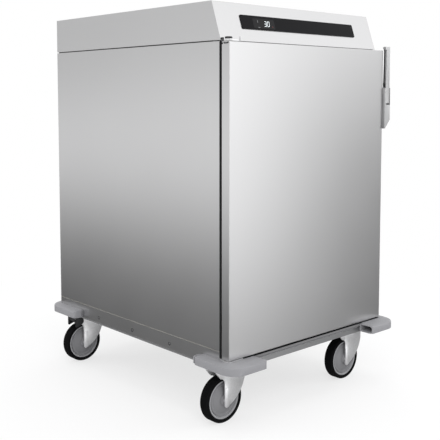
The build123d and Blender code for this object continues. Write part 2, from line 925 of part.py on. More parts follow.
# Corner bumpers: hollow moulded corners with sloping tops and open arm ends
for end_name, end in (("front", -1), ("rear", 1)):
    for side_name, side in (("left", -1), ("right", 1)):
        outer = (side * overall_width / 2, end * overall_depth / 2)
        inner = (side * half_width, rear_y if end > 0 else sill_front_y)
        tips = (outer[0] - side * bumper_front_arm, outer[1] - end * bumper_side_arm)
        shell = corner_outline(bumper_bottom, outer, inner, tips, bumper_radius)
        core_outer = (outer[0] - side * bumper_wall, outer[1] - end * bumper_wall)
        core_inner = (inner[0] + side * bumper_back, inner[1] + end * bumper_back)
        core_tips = (tips[0] - side * bumper_wall, tips[1] - end * bumper_wall)
        core_radius = bumper_radius - bumper_wall
        core_level = bumper_bottom + bumper_wall
        core = corner_outline(core_level, core_outer, core_inner, core_tips, core_radius)
        with BuildPart() as hollow_core:
            extrude(core, amount=bumper_height - bumper_wall * 2)
            core_top = hollow_core.faces().sort_by(Axis.Z)[-1]
            fillet(outer_edges(core_top, core_inner, core_tips), bumper_arch)
        with BuildPart() as bumper:
            extrude(shell, amount=bumper_height)
            ends = [
                edge
                for edge in bumper.edges().filter_by(Axis.Z)
                if abs(edge.center().X - outer[0]) < same or abs(edge.center().Y - outer[1]) < same
                if abs(edge.center().X - tips[0]) < same or abs(edge.center().Y - tips[1]) < same
            ]
            fillet(ends, bumper_end_radius)
            top = bumper.faces().sort_by(Axis.Z)[-1]
            brow = outer_edges(top, inner, tips)
            chamfer(brow, bumper_top_slope, bumper_top_rise, reference=top)
            add(hollow_core.part, mode=Mode.SUBTRACT)
            if end < 0 and side < 0:
                boss_z = (sill_top, bumper_top)
                rod(pivot_x, pivot_y, boss_z, hinge_boss_radius + free_gap, Mode.SUBTRACT)
        finish(bumper, f"bumper_{end_name}_{side_name}")

# Door skin: a pan with its front face and four returns
pan_z = (door_bottom + sheet, door_top - sheet)
with BuildPart() as door_pan:
    block(both(half_width), (door_front_y, door_back_y), (door_bottom, door_top))
    fillet(door_pan.faces().sort_by(Axis.Y)[0].edges(), door_corner_radius)
    block(both(inner_half), (door_front_y + sheet, door_back_y), pan_z, Mode.SUBTRACT)
    door_span = (door_bottom, door_top)
    rod(pivot_x, pivot_y, door_span, bush_radius + running_gap, Mode.SUBTRACT)
finish(door_pan, "door_outer_pan")


def field_outline(start_y, shrink):
    """Outline of the raised field of the door's inner panel."""
    field_x = (half_width - emboss_margin - shrink) * 2
    field_z = door_top - door_bottom - (emboss_margin + shrink) * 2
    with BuildSketch(rear_plane(start_y, (door_bottom + door_top) / 2)) as field:
        Rectangle(field_x, field_z)
    return field.sketch


# Door inner panel, pressed with a raised field, and the foam core behind it
fold = door_skin * (sqrt(2) - 1)
inner_skin_y = door_back_y - door_skin
with BuildPart() as inner_panel:
    block(both(inner_half), (inner_skin_y, door_back_y), pan_z)
    extrude(field_outline(door_back_y, 0), amount=emboss_depth, taper=45)
    extrude(field_outline(inner_skin_y, fold), amount=emboss_depth, taper=45, mode=Mode.SUBTRACT)
finish(inner_panel, "door_inner_panel")

with BuildPart() as door_core:
    block(both(inner_half), (door_front_y + sheet, inner_skin_y), pan_z)
    extrude(field_outline(inner_skin_y, fold), amount=emboss_depth, taper=45)
    for bush_z in ((door_bottom, door_bottom + bush_length), (door_top - bush_length, door_top)):
        rod(pivot_x, pivot_y, bush_z, bush_radius + running_gap, Mode.SUBTRACT)
finish(door_core, "door_core")

# Door gasket: a flat base on the inner panel with a bulb that nears the frame
gasket_mid_z = (cavity_floor + cavity_top) / 2
gasket_half_x = cavity_half + gasket_lap
gasket_half_z = (cavity_top - cavity_floor) / 2 + gasket_lap
gasket_height = gasket_space - free_gap
with BuildPart() as gasket:
    for width, height in ((gasket_width, gasket_base), (gasket_bulb_width, gasket_height)):
        with BuildSketch(rear_plane(door_back_y, gasket_mid_z)):
            Rectangle(gasket_half_x * 2 + width, gasket_half_z * 2 + width)
            Rectangle(gasket_half_x * 2 - width, gasket_half_z * 2 - width, mode=Mode.SUBTRACT)
        extrude(amount=height)
    fillet(gasket.faces().sort_by(Axis.Y)[-1].edges(), gasket_bulb_radius)
finish(gasket, "door_gasket")

# Flanged bushes that the hinge pins turn in
with BuildPart() as bushes:
    for face, inward in ((door_bottom, 1), (door_top, -1)):
        rod(pivot_x, pivot_y, (face, face + inward * bush_length), bush_radius)
        rod(pivot_x, pivot_y, (face, face - inward * bush_flange), bush_flange_radius)
    bush_span = (door_bottom - bush_flange, door_top + bush_flange)
    rod(pivot_x, pivot_y, bush_span, hinge_pin_radius + running_gap, Mode.SUBTRACT)
finish(bushes, "door_bushes")

# Latch body on the door's edge: a cast block with a slot for the lever, and its pin
slot_x_span = (half_width + slot_left, latch_right - slot_right)
slot_back_y = latch_front_y + slot_depth
claw_x = (lever_left, lever_left + claw_width)
with BuildPart() as latch_body:
    with BuildSketch(Plane.XZ.offset(-latch_front_y)):
        with BuildLine():
            Polyline(
                (half_width, latch_bottom),
                (half_width + latch_tip_width, latch_bottom),
                (latch_right, latch_bottom + latch_taper),
                (latch_right, latch_top),
                (half_width, latch_top),
                close=True,
            )
        make_face()
    extrude(amount=latch_front_y - latch_back_y)
    fillet(latch_body.faces().sort_by(Axis.Y)[0].edges(), latch_edge_radius)
    block(slot_x_span, (latch_front_y, slot_back_y), (slot_bottom, latch_top), Mode.SUBTRACT)
    claw_slot_x = (slot_x_span[0], claw_x[1] + slot_clearance)
    claw_slot_z = (lever_pivot_z - claw_height, latch_top)
    block(claw_slot_x, (slot_back_y, latch_back_y), claw_slot_z, Mode.SUBTRACT)
    pin_x = (half_width, latch_right)
    crosswise(pin_x, lever_pivot_y, lever_pivot_z, latch_pin_radius + running_gap, Mode.SUBTRACT)
    crosswise(pin_x, lever_pivot_y, lever_pivot_z, latch_pin_radius)
finish(latch_body, "latch_body")

# Latch lever: a long bar on a round hub, with a toe that fills the foot of the slot
toe_radius = lever_pivot_z - slot_bottom - slot_clearance
claw_seat_y = lever_pivot_y + lever_pivot_back - lever_inset
lever_y = (lever_front_y, lever_front_y + lever_thickness)
curl_z = (lever_top - lever_curl_height, lever_top)
with BuildPart() as lever:
    with BuildSketch(Plane.YZ.offset(lever_left)):
        with Locations((lever_pivot_y, lever_pivot_z)):
            Circle(toe_radius)
            Rectangle(toe_radius, toe_radius * 2, align=(Align.MIN, Align.CENTER), mode=Mode.SUBTRACT)
            Circle(lever_pivot_back)
        with Locations((lever_front_y, lever_pivot_z)):
            Rectangle(toe_radius, toe_radius * 2, align=(Align.MAX, Align.CENTER), mode=Mode.SUBTRACT)
        with Locations((claw_seat_y, lever_pivot_z)):
            Rectangle(toe_radius, toe_radius * 2, align=(Align.MIN, Align.CENTER), mode=Mode.SUBTRACT)
        with Locations((lever_front_y, lever_pivot_z)):
            Rectangle(lever_thickness, lever_top - lever_pivot_z, align=(Align.MIN, Align.MIN))
    extrude(amount=lever_right - lever_left)
    block((lever_left - lever_curl, lever_left), lever_y, curl_z)
    front_edges = lever.faces().sort_by(Axis.Y)[0].edges().filter_by(Axis.Z)
    fillet(front_edges.sort_by(Axis.X)[-1], latch_edge_radius)
    lever_x = (lever_left, lever_right)
    crosswise(lever_x, lever_pivot_y, lever_pivot_z, latch_pin_radius + running_gap, Mode.SUBTRACT)
finish(lever, "latch_lever")

with BuildPart() as lever_grip:
    block((lever_left - grip_strip, lever_left), lever_y, (grip_strip_bottom, curl_z[0]))
finish(lever_grip, "lever_grip")

# Claw: an arm behind the lever whose hook reaches down to the keeper
with BuildPart() as claw:
    block(claw_x, (claw_seat_y, claw_end_y), around(lever_pivot_z, claw_height))
    block(claw_x, (claw_end_y - claw_nose, claw_end_y), (claw_bottom, lever_pivot_z))
    back_edges = claw.edges().filter_by(Axis.X).group_by(Axis.Y)[-1]
    fillet(back_edges.sort_by(Axis.Z)[-1], claw_nose / 2)
finish(claw, "latch_claw")

# Caster plates: a bolted plate with its ball race and the kingpin that holds the fork
plate_bottom = caster_height - plate_sheet
with BuildPart() as plates:
    for x, y in swivels.values():
        with BuildSketch(Plane((x, y, plate_bottom))):
            RectangleRounded(plate_x, plate_y, plate_radius)
            with GridLocations(bolt_x, bolt_y, 2, 2):
                Circle(bolt_hole_radius, mode=Mode.SUBTRACT)
        extrude(amount=plate_sheet)
        rod(x, y, (crown_top + free_gap, plate_bottom), race_radius)
        rod(x, y, (pin_head_top - kingpin_head, plate_bottom), kingpin_radius)
        rod(x, y, (pin_head_top - kingpin_head, pin_head_top), kingpin_head_radius)
finish(plates, "caster_plates")

# Caster bolts: heads under the plates and nuts inside the chassis
gusset_top = caster_height + chassis_wall
with BuildPart() as bolts:
    for x, y in swivels.values():
        for level, height in ((plate_bottom - bolt_head, bolt_head), (gusset_top, nut_height)):
            with BuildSketch(Plane((x, y, level))):
                with GridLocations(bolt_x, bolt_y, 2, 2):
                    RegularPolygon(bolt_head_radius, 6)
            extrude(amount=height)
        with BuildSketch(Plane((x, y, plate_bottom))):
            with GridLocations(bolt_x, bolt_y, 2, 2):
                Circle(bolt_radius)
        extrude(amount=gusset_top - plate_bottom)
finish(bolts, "caster_bolts")


def leg_outline(x, y, rib=False):
    """Side view of a fork leg: an ear at the left and a curved back down to the tip."""
    edge = x + wheel_x - leg_edge_left
    tip = (x + wheel_x, wheel_z - leg_tip_drop)
    right = x + leg_top_right
    back_head = (right, tip[1] + leg_back_rise)
    ear_z = crown_bottom - leg_ear_height
    with BuildSketch(Plane.XZ.offset(-y)) as outline:
        with BuildLine():
            Polyline(
                back_head,
                (right, crown_bottom + bridge_sheet),
                (x + leg_top_left, crown_bottom + bridge_sheet),
                (x + leg_top_left, ear_z),
                (edge, ear_z),
                (edge, tip[1] + leg_edge_left),
                tip,
            )
            RadiusArc(tip, back_head, -leg_back_radius)
        make_face()
        fillet(outline.vertices().sort_by_distance((edge, ear_z))[0], leg_arch)
        if rib:
            with Locations((edge, tip[1])):
                Rectangle(leg_rib_width, leg_rib_length, align=(Align.MIN, Align.MIN), mode=Mode.INTERSECT)
    return outline.sketch


fork_outer = fork_inner + fork_sheet
for name, (x, y) in swivels.items():
    axle_x = x + wheel_x
    fork_y = around(y, fork_outer * 2)

    # Fork: a crown with a bore for the kingpin, a bridge and two ribbed legs, with its axle
    with BuildPart() as fork:
        rod(x, y, (crown_bottom, crown_top), crown_radius)
        bridge_x = (x - crown_radius, x + leg_top_right)
        block(bridge_x, fork_y, (crown_bottom, crown_bottom + bridge_sheet))
        rod(x, y, (crown_bottom, crown_top), kingpin_radius + running_gap, Mode.SUBTRACT)
        for side in (-1, 1):
            extrude(leg_outline(x, y + side * fork_inner), amount=-side * fork_sheet)
            extrude(leg_outline(x, y + side * fork_outer, rib=True), amount=-side * leg_rib_proud)
        lengthwise(axle_x, fork_y, wheel_z, axle_radius + running_gap, Mode.SUBTRACT)
        axle_y = around(y, (fork_outer - running_gap) * 2)
        lengthwise(axle_x, axle_y, wheel_z, axle_radius)
        if y > 0:
            lengthwise(x + pedal_pivot_x, fork_y, pedal_pivot_z, pedal_pin_radius)
    finish(fork, f"fork_{name}")

    # Rim: a hub, a dished web with a groove, and the lip that seats the tyre
    wheel_plane = Plane((axle_x, y, wheel_z))
    axle = Axis((axle_x, y, wheel_z), (0, 1, 0))
    bore = axle_radius + running_gap
    groove = (rim_radius - rim_lip - rim_groove, rim_radius - rim_lip)
    web = rim_web / 2
    with BuildPart() as rim:
        with BuildSketch(wheel_plane):
            for face in (-1, 1):
                with BuildLine():
                    Polyline(
                        (bore, 0),
                        (bore, face * hub_width / 2),
                        (hub_radius, face * hub_width / 2),
                        (hub_radius, face * (web + rim_dish)),
                        (groove[0], face * web),
                        (groove[0], face * (web - rim_groove_depth)),
                        (groove[1], face * (web - rim_groove_depth)),
                        (groove[1], face * rim_width / 2),
                        (rim_radius, face * rim_width / 2),
                        (rim_radius, 0),
                        close=True,
                    )
                make_face()
        revolve(axis=axle)
    finish(rim, f"rim_{name}")

    # Tyre: a solid rubber band with bevelled shoulders
    with BuildPart() as tyre:
        with BuildSketch(wheel_plane) as tread:
            with Locations((rim_radius, 0)):
                Rectangle(tyre_thickness, tyre_width, align=(Align.MIN, Align.CENTER))
            chamfer(tread.vertices().group_by(Axis.X)[-1], tyre_shoulder)
        revolve(axis=axle)
    finish(tyre, f"tyre_{name}")

# Brake pedals: a hub on the fork's cross pin with a foot plate that rises outward
for name in ("rear_left", "rear_right"):
    x, y = swivels[name]
    hub = (x + pedal_pivot_x, pedal_pivot_z)
    tread_x = hub[0] - pedal_length
    with BuildPart() as pedal:
        with BuildSketch(Plane.XZ.offset(-y)):
            with Locations(hub):
                Circle(pedal_hub_radius)
            with BuildLine():
                Polyline(
                    (hub[0], hub[1] - pedal_thickness / 2),
                    (hub[0], hub[1] + pedal_thickness / 2),
                    (tread_x, hub[1] + pedal_rise + pedal_thickness / 2),
                    (tread_x, hub[1] + pedal_rise - pedal_thickness / 2),
                    close=True,
                )
            make_face()
            with Locations(hub):
                Circle(pedal_pin_radius + running_gap, mode=Mode.SUBTRACT)
        extrude(amount=pedal_width / 2, both=True)
    finish(pedal, f"brake_pedal_{name}")
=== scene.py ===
"""Looks for the heated banquet cart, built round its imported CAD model.

The file is laid out as an add-on. Property groups hold the sizes and colours that a user
would change, one operator makes each piece or group of like pieces, and a panel in the
sidebar lists them. Lengths are in metres, in the frame of the CAD model, except in the tables
that mm() takes.
"""

import json
from math import pi, radians

import bmesh
import bpy
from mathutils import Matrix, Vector

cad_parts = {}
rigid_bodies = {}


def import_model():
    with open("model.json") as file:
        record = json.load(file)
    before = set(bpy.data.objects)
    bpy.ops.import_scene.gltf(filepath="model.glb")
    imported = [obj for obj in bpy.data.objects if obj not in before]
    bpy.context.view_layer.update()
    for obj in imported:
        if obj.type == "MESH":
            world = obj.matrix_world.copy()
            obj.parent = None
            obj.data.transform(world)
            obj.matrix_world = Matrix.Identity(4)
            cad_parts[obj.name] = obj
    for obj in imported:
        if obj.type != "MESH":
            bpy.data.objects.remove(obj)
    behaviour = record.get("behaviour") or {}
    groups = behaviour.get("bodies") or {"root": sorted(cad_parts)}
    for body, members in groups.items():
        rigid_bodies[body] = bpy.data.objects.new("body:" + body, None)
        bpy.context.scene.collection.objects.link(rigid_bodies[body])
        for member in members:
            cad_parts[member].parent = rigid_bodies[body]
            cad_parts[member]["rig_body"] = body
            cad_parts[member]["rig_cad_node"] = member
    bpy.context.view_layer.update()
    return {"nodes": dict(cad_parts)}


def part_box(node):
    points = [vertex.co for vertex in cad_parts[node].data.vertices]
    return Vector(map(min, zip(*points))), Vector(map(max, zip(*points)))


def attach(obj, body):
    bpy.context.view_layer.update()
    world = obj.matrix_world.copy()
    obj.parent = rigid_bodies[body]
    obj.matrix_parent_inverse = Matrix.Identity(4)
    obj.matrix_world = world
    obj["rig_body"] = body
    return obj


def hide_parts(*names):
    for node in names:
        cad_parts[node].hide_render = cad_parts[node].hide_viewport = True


bl_info = {
    "name": "Heated banquet cart",
    "version": (1, 0, 0),
    "blender": (4, 5, 0),
    "location": "View3D > Sidebar > Cart",
    "description": "Builds the finishes, trim and studio of a heated banquet cart",
    "category": "Add Mesh",
}

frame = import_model()

ACROSS = Vector((1, 0, 0))
DEEP = Vector((0, 1, 0))
UP = Vector((0, 0, 1))
CORNERS = ("front_left", "front_right", "rear_left", "rear_right")

# Points nearer than this are one point
SAME = 1e-6


def middle(node):
    """Middle of a CAD node's box."""
    low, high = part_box(node)
    return (low + high) / 2


def wheel_middle(corner):
    """Where a wheel's axle crosses its middle plane."""
    return middle(f"tyre_{corner}")


def mm(*pairs):
    """Pairs of millimetres, in metres."""
    return [(first / 1000, second / 1000) for first, second in pairs]


# Property helpers


def length(name, description, default, low=0.0, high=5.0):
    """A length property."""
    return bpy.props.FloatProperty(
        name=name, description=description, default=default, min=low, max=high, unit="LENGTH",
        precision=5,
    )


def share(name, description, default):
    """A property from 0 to 1."""
    return bpy.props.FloatProperty(
        name=name, description=description, default=default, min=0.0, max=1.0, subtype="FACTOR"
    )


def count(name, description, default, low=1, high=256):
    """A whole number property."""
    return bpy.props.IntProperty(
        name=name, description=description, default=default, min=low, max=high
    )


def colour(name, description, default):
    """A colour property."""
    return bpy.props.FloatVectorProperty(
        name=name, description=description, default=default, size=3, min=0.0, max=1.0,
        subtype="COLOR",
    )


class CartWheelSettings(bpy.types.PropertyGroup):
    """Sizes of the tyres and hubs."""

    steps: count("Facets", "Facets round each wheel", 96, 16)
    groove_count: count("Grooves", "Fine grooves round each tread", 7)
    groove_width: length("Groove width", "Width of one groove", 0.0011)
    groove_depth: length("Groove depth", "Depth of one groove", 0.0009)
    shoulder: length("Shoulder", "How far the tread rounds over at its edges", 0.0042)
    bulge: length("Side wall", "How far the tyre's side wall leans in at the rim", 0.0016)
    # The lip is the same moulding as the web, painted paler as a highlight
    seat_lip: length("Rim lip", "Width of the bright lip round the hub", 0.0030)
    ring_depth: length("Ring groove", "Depth of the dark groove inside the lip", 0.0050)
    dish: length("Dish", "How far the web falls back toward the lip", 0.0022)
    seat_half: length("Seat", "Half the width of the tyre's seat", 0.0135)
    web_half: length("Web", "Half the thickness of the web", 0.0118)


class CartTrimSettings(bpy.types.PropertyGroup):
    """Sizes of the small trim."""

    edge_round: length("Edge rounding", "Rounding of pressed and cast edges", 0.0006)
    fine_round: length("Fine rounding", "Rounding of thin trim", 0.0003)
    screw_radius: length("Screw head", "Radius of a screw head", 0.0038)
    screw_rise: length("Screw rise", "Height of a screw head", 0.0016)
    digit_height: length("Digit height", "Height of the display's digits", 0.0138)
    digit_width: length("Digit width", "Width of one digit", 0.0070)
    digit_gap: length("Digit gap", "Gap between the digits", 0.0042)
    digit_stroke: length("Digit stroke", "Width of one stroke", 0.0013)
    digit_slant: share("Digit slant", "Lean of the digits", 0.20)
    digit_left: length("Digit place", "Left edge of the digits from the middle", -0.1455, -1.0)
    digit_top: length("Digit top", "Top of the digits, down the fascia", 0.0468)
    panel_rise: length("Panel rise", "Height of the panel's face over the fascia", 0.0020)
    print_sheet: length("Print", "Thickness of a print on the panel", 0.0002)
    fascia_lean: length("Fascia lean", "How far the fascia leans back", 0.034)
    fork_round: length("Fork rounding", "Rounding of the pressed forks' edges", 0.0009)
    toe_reach: length("Pedal toe", "How far a pedal's toe stands out of the fork", 0.001)
    cheek_reach: length("Cheek place", "From a fork's middle to a pedal's cheek", 0.0219)
    cheek_sheet: length("Pedal cheek", "Thickness of a pedal's cheek", 0.0014)
    ear_taper: length("Ear taper", "How far the tip of a fork's ear rises", 0.019)
    bumper_crown: length("Bumper crown", "Rounding of the bumpers' upper outer edge", 0.0075)
    bumper_foot: length("Bumper foot", "Rounding of the bumpers' lower outer edge", 0.0035)
    cap_rise: length("End cap", "How far a bumper's end cap stands out", 0.0006)
    lever_back: length("Lever grip", "Thickness of the lever's grip", 0.0085)


class CartFinishSettings(bpy.types.PropertyGroup):
    """Colours and wear of the finishes."""

    sheet: colour("Sheet steel", "Brushed stainless sheet", (0.60, 0.60, 0.605))
    housing: colour("Housing steel", "Stainless of the top housing", (0.61, 0.61, 0.615))
    # A darker copy of the stainless: painted shade on the drip sill under the door and on the skirt
    # rivets
    sill: colour("Sill steel", "Shaded steel of the drip sill", (0.40, 0.40, 0.41))
    liner: colour("Liner steel", "Satin steel of the cavity", (0.52, 0.52, 0.525))
    zinc: colour("Zinc", "Bright zinc of the casters", (0.84, 0.84, 0.85))
    cast: colour("Latch casting", "Satin casting of the latch", (0.52, 0.52, 0.525))
    chassis: colour("Chassis paint", "Grey paint of the chassis", (0.16, 0.16, 0.165))
    bumper: colour("Bumpers", "Grey moulded bumpers", (0.275, 0.275, 0.29))
    hub: colour("Hubs", "Grey moulded hubs", (0.21, 0.21, 0.22))
    # Painted highlight: the hub lip is the hub's own grey made paler
    lip: colour("Hub lips", "Paler lip round each hub", (0.36, 0.36, 0.375))
    tyre: colour("Tyres", "Black rubber of the tyres", (0.004, 0.004, 0.0045))
    seam: colour("Seam seal", "Grey seal under the top housing", (0.09, 0.09, 0.09))
    rubber: colour("Seals", "Black rubber of the seals", (0.014, 0.014, 0.015))
    black: colour("Black plastic", "Black moulded plastic", (0.022, 0.022, 0.024))
    panel: colour("Panel glass", "Black glass of the control panel", (0.008, 0.008, 0.009))
    digits: colour("Digits", "Lit strokes of the display", (0.86, 0.93, 0.95))
    foam: colour("Foam", "Mineral insulation", (0.17, 0.17, 0.165))
    heater: colour("Heater", "Tempered steel of the heater", (0.20, 0.16, 0.14))
    bush: colour("Bushes", "Graphite filled bronze", (0.075, 0.068, 0.060))
    aluminium: colour("Aluminium", "Cast aluminium of the fan", (0.70, 0.70, 0.71))
    mark: colour("Marks", "Print of the marks beside the display", (0.16, 0.165, 0.17))
    lamp: colour("Indicator", "Unlit lamp beside the display", (0.09, 0.012, 0.012))
    dust: colour("Dust", "Dust on plastic and rubber", (0.36, 0.35, 0.33))
    unevenness: share("Unevenness", "How far the sheet's colour varies", 0.014)
    edge: length("Edge", "Radius of the sheet's shaded edges", 0.0008)


class CartStudioSettings(bpy.types.PropertyGroup):
    """Camera, lamps and floor."""

    camera_place: bpy.props.FloatVectorProperty(
        name="Camera place", description="Where the camera stands",
        default=(-1.6598, -1.8456, 0.8635), size=3, unit="LENGTH", subtype="TRANSLATION",
        precision=4,
    )
    camera_turn: bpy.props.FloatProperty(
        name="Camera turn", description="Turn to the right from the depth axis", default=0.737,
        subtype="ANGLE", precision=4,
    )
    camera_tilt: bpy.props.FloatProperty(
        name="Camera tilt", description="Tilt above the horizon", default=-0.080,
        subtype="ANGLE", precision=4,
    )
    lens: bpy.props.FloatProperty(
        name="Lens", description="Focal length in millimetres", default=65.16, min=10.0,
        max=300.0,
    )
    shift: bpy.props.FloatProperty(
        name="Shift", description="Vertical shift of the frame", default=-0.136, min=-1.0,
        max=1.0,
    )
    floor: colour("Floor", "Pale studio floor", (0.90, 0.90, 0.905))
    floor_near: length("Floor edge", "Radius at which the floor starts to fade", 0.35)
    floor_far: length("Backdrop edge", "Radius at which the floor is the backdrop", 1.5)
    floor_lift: share("Floor lift", "Share of white in the floor under the cart", 0.68)
    room: share("Room light", "Strength of the even light of the room", 0.80)


# Modelling helpers


def clear_selection():
    """Leaves edit mode and deselects everything."""
    if bpy.context.mode != "OBJECT":
        bpy.ops.object.mode_set(mode="OBJECT")
    bpy.ops.object.select_all(action="DESELECT")


def activate(piece):
    """Makes a piece the only selected object."""
    clear_selection()
    piece.select_set(True)
    bpy.context.view_layer.objects.active = piece


def choose(kind, test):
    """In edit mode, selects only the vertices, edges or faces that pass the test."""
    bpy.ops.mesh.select_mode(type=kind)
    bpy.ops.mesh.select_all(action="DESELECT")
    mesh = bmesh.from_edit_mesh(bpy.context.object.data)
    parts = {"VERT": mesh.verts, "EDGE": mesh.edges, "FACE": mesh.faces}[kind]
    for part in parts:
        if test(part):
            part.select_set(True)
    bmesh.update_edit_mesh(bpy.context.object.data)


def reshape(piece, kind, test, operator, **settings):
    """Runs an edit mode operator on the parts of a piece that pass the test."""
    activate(piece)
    bpy.ops.object.mode_set(mode="EDIT")
    choose(kind, test)
    operator(**settings)
    bpy.ops.object.mode_set(mode="OBJECT")
    return piece


def draw(points):
    """Draws a run of edges through the points, and stays in edit mode."""
    clear_selection()
    bpy.ops.mesh.primitive_plane_add(size=0.001, location=points[0])
    bpy.ops.object.mode_set(mode="EDIT")
    bpy.ops.mesh.select_mode(type="VERT")
    bpy.ops.mesh.select_all(action="SELECT")
    bpy.ops.mesh.merge(type="CENTER")
    for here, there in zip(points, points[1:]):
        bpy.ops.mesh.extrude_vertices_move(TRANSFORM_OT_translate={"value": there - here})


def tidy_mesh():
    """Merges doubles and turns all faces outward."""
    bpy.ops.mesh.select_all(action="SELECT")
    bpy.ops.mesh.remove_doubles(threshold=SAME)
    bpy.ops.mesh.normals_make_consistent(inside=False)


def lathe(profile, centre, along, steps):
    """Spins a profile of (radius, distance along the axis) pairs round an axis."""
    out = UP if along == ACROSS else ACROSS
    draw([centre + out * radius + along * run for radius, run in profile])
    bpy.ops.mesh.select_all(action="SELECT")
    bpy.ops.mesh.spin(steps=steps, angle=2 * pi, center=centre, axis=along)
    tidy_mesh()
    return bpy.context.object


def slab(outline, depth):
    """Fills a closed outline and extrudes it."""
    draw(outline + outline[:1])
    bpy.ops.mesh.select_all(action="SELECT")
    bpy.ops.mesh.remove_doubles(threshold=SAME)
    bpy.ops.mesh.edge_face_add()
    bpy.ops.mesh.extrude_region_move(TRANSFORM_OT_translate={"value": depth})
    tidy_mesh()
    return bpy.context.object


def soften(piece, width, segments=2, limit=32):
    """Rounds a piece's sharp edges with an applied bevel."""
    activate(piece)
    bpy.ops.object.modifier_add(type="BEVEL")
    rounding = piece.modifiers[-1]
    rounding.width = width
    rounding.segments = segments
    rounding.limit_method = "ANGLE"
    rounding.angle_limit = radians(limit)
    rounding.use_clamp_overlap = True
    rounding.harden_normals = False
    bpy.ops.object.modifier_apply(modifier=rounding.name)
    return piece


def cad_copy(node):
    """A merged copy of a CAD node's mesh, with its flat faces made whole."""
    clear_selection()
    source = frame["nodes"][node]
    piece = source.copy()
    piece.data = source.data.copy()
    piece.parent = None
    del piece["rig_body"]
    del piece["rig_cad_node"]
    bpy.context.scene.collection.objects.link(piece)
    activate(piece)
    bpy.ops.object.mode_set(mode="EDIT")
    bpy.ops.mesh.select_all(action="SELECT")
    bpy.ops.mesh.remove_doubles(threshold=SAME)
    bpy.ops.mesh.dissolve_limited(angle_limit=radians(0.5))
    bpy.ops.object.mode_set(mode="OBJECT")
    return piece


def copy_to(piece, offset):
    """A copy of a piece with its own mesh, moved by an offset."""
    activate(piece)
    bpy.ops.object.duplicate(linked=False)
    bpy.ops.transform.translate(value=offset)
    return bpy.context.object


def join(pieces):
    """Joins pieces into the first of them."""
    clear_selection()
    for piece in pieces:
        piece.select_set(True)
    bpy.context.view_layer.objects.active = pieces[0]
    bpy.ops.object.join()
    return bpy.context.object


def settle(piece, name, body, material, replaced=(), smooth=35):
    """Places, names and finishes a piece, says what it rides on, and hides the CAD nodes that it
    stands for.
    """
    activate(piece)
    bpy.ops.object.transform_apply(location=True, rotation=True, scale=True)
    piece.name = piece.data.name = name
    bpy.ops.object.shade_smooth_by_angle(angle=radians(smooth))
    piece.data.materials.clear()
    piece.data.materials.append(bpy.data.materials[material])
    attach(piece, body)
    if replaced:
        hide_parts(*replaced)
    return piece


# Shader helpers


def feed(tree, source, target):
    """Links a socket to an input, or sets the input to a constant."""
    if isinstance(source, bpy.types.NodeSocket):
        tree.links.new(source, target)
    else:
        target.default_value = source


def node(tree, kind, *feeds, **settings):
    """Adds a node. Feeds fill its inputs in order, settings that name an input fill that one,
    and the other settings set the node itself."""
    made = tree.nodes.new(f"ShaderNode{kind}")
    inputs = dict(enumerate(feeds))
    for key, value in settings.items():
        if hasattr(made, key):
            setattr(made, key, value)
        else:
            inputs[key.replace("_", " ")] = value
    for key, value in inputs.items():
        feed(tree, value, made.inputs[key])
    return made


def calc(tree, operation, *feeds, clamp=False):
    """Result of a math node."""
    return node(tree, "Math", *feeds, operation=operation, use_clamp=clamp).outputs["Value"]


def place_in(tree):
    """Object coordinates."""
    return node(tree, "TexCoord").outputs["Object"]


def noise(tree, place, scale, detail, roughness):
    """A noise from 0 to 1."""
    made = node(tree, "TexNoise", Vector=place, Scale=scale, Detail=detail, Roughness=roughness)
    return made.outputs["Fac"]


def spread(tree, value, low, high):
    """Maps a 0 to 1 value to a range."""
    return node(tree, "MapRange", Value=value, To_Min=low, To_Max=high).outputs["Result"]


def tint(tree, shade, amount):
    """A colour multiplied by a value."""
    return node(tree, "VectorMath", shade, operation="SCALE", Scale=amount).outputs["Vector"]


# Where a mix node keeps its first input and its result, by the kind of data
MIX_SOCKETS = {"FLOAT": (2, 0), "RGBA": (6, 2)}


def blend(tree, kind, amount, first, second):
    """Mixes two values or two colours."""
    start, result = MIX_SOCKETS[kind]
    mixer = node(tree, "Mix", amount, data_type=kind)
    feed(tree, first, mixer.inputs[start])
    feed(tree, second, mixer.inputs[start + 1])
    return mixer.outputs[result]


# What every finish group puts out, and the inputs of the Principled shader that it feeds
LOOKS = {"Colour": ("Color", "Base Color"), "Roughness": ("Float", "Roughness"),
         "Normal": ("Vector", "Normal")}


def new_group(name, inputs):
    """An empty node group with the named inputs and the outputs of a finish."""
    group = bpy.data.node_groups.new(name, "ShaderNodeTree")
    outputs = {label: kind for label, (kind, _) in LOOKS.items()}
    for in_out, sockets in (("INPUT", inputs), ("OUTPUT", outputs)):
        for label, kind in sockets.items():
            group.interface.new_socket(name=label, in_out=in_out, socket_type=f"NodeSocket{kind}")
    return group, group.nodes.new("NodeGroupInput").outputs


def put_out(group, *looks):
    """Links a group's colour, roughness and normal to its outputs."""
    made = group.nodes.new("NodeGroupOutput")
    for label, source in zip(LOOKS, looks):
        feed(group, source, made.inputs[label])
    return group


def build_brushed_group():
    """Brushed sheet: fine streaks along a grain, soft cloudiness and rounded edges."""
    group, given = new_group("brushed sheet", {
        "Colour": "Color", "Grain": "Vector", "Depth": "Float", "Roughness": "Float",
        "Unevenness": "Float", "Edge": "Float",
    })
    place = place_in(group)
    along = node(group, "VectorMath", place, given["Grain"], operation="MULTIPLY")
    streaks = noise(group, along.outputs["Vector"], 1.0, 3.0, 0.65)
    clouds = noise(group, place, 5.0, 2.0, 0.5)
    both = calc(group, "ADD", streaks, clouds)
    level = calc(group, "SUBTRACT", 1.0, given["Unevenness"])
    swing = calc(group, "MULTIPLY_ADD", both, given["Unevenness"], level)
    change = spread(group, clouds, -0.02, 0.01)
    rounded = node(group, "Bevel", samples=4, Radius=given["Edge"])
    bump = node(group, "Bump", Distance=0.0002, Strength=given["Depth"], Height=streaks,
                Normal=rounded.outputs["Normal"])
    return put_out(group, tint(group, given["Colour"], swing),
                   calc(group, "ADD", given["Roughness"], change), bump.outputs["Normal"])


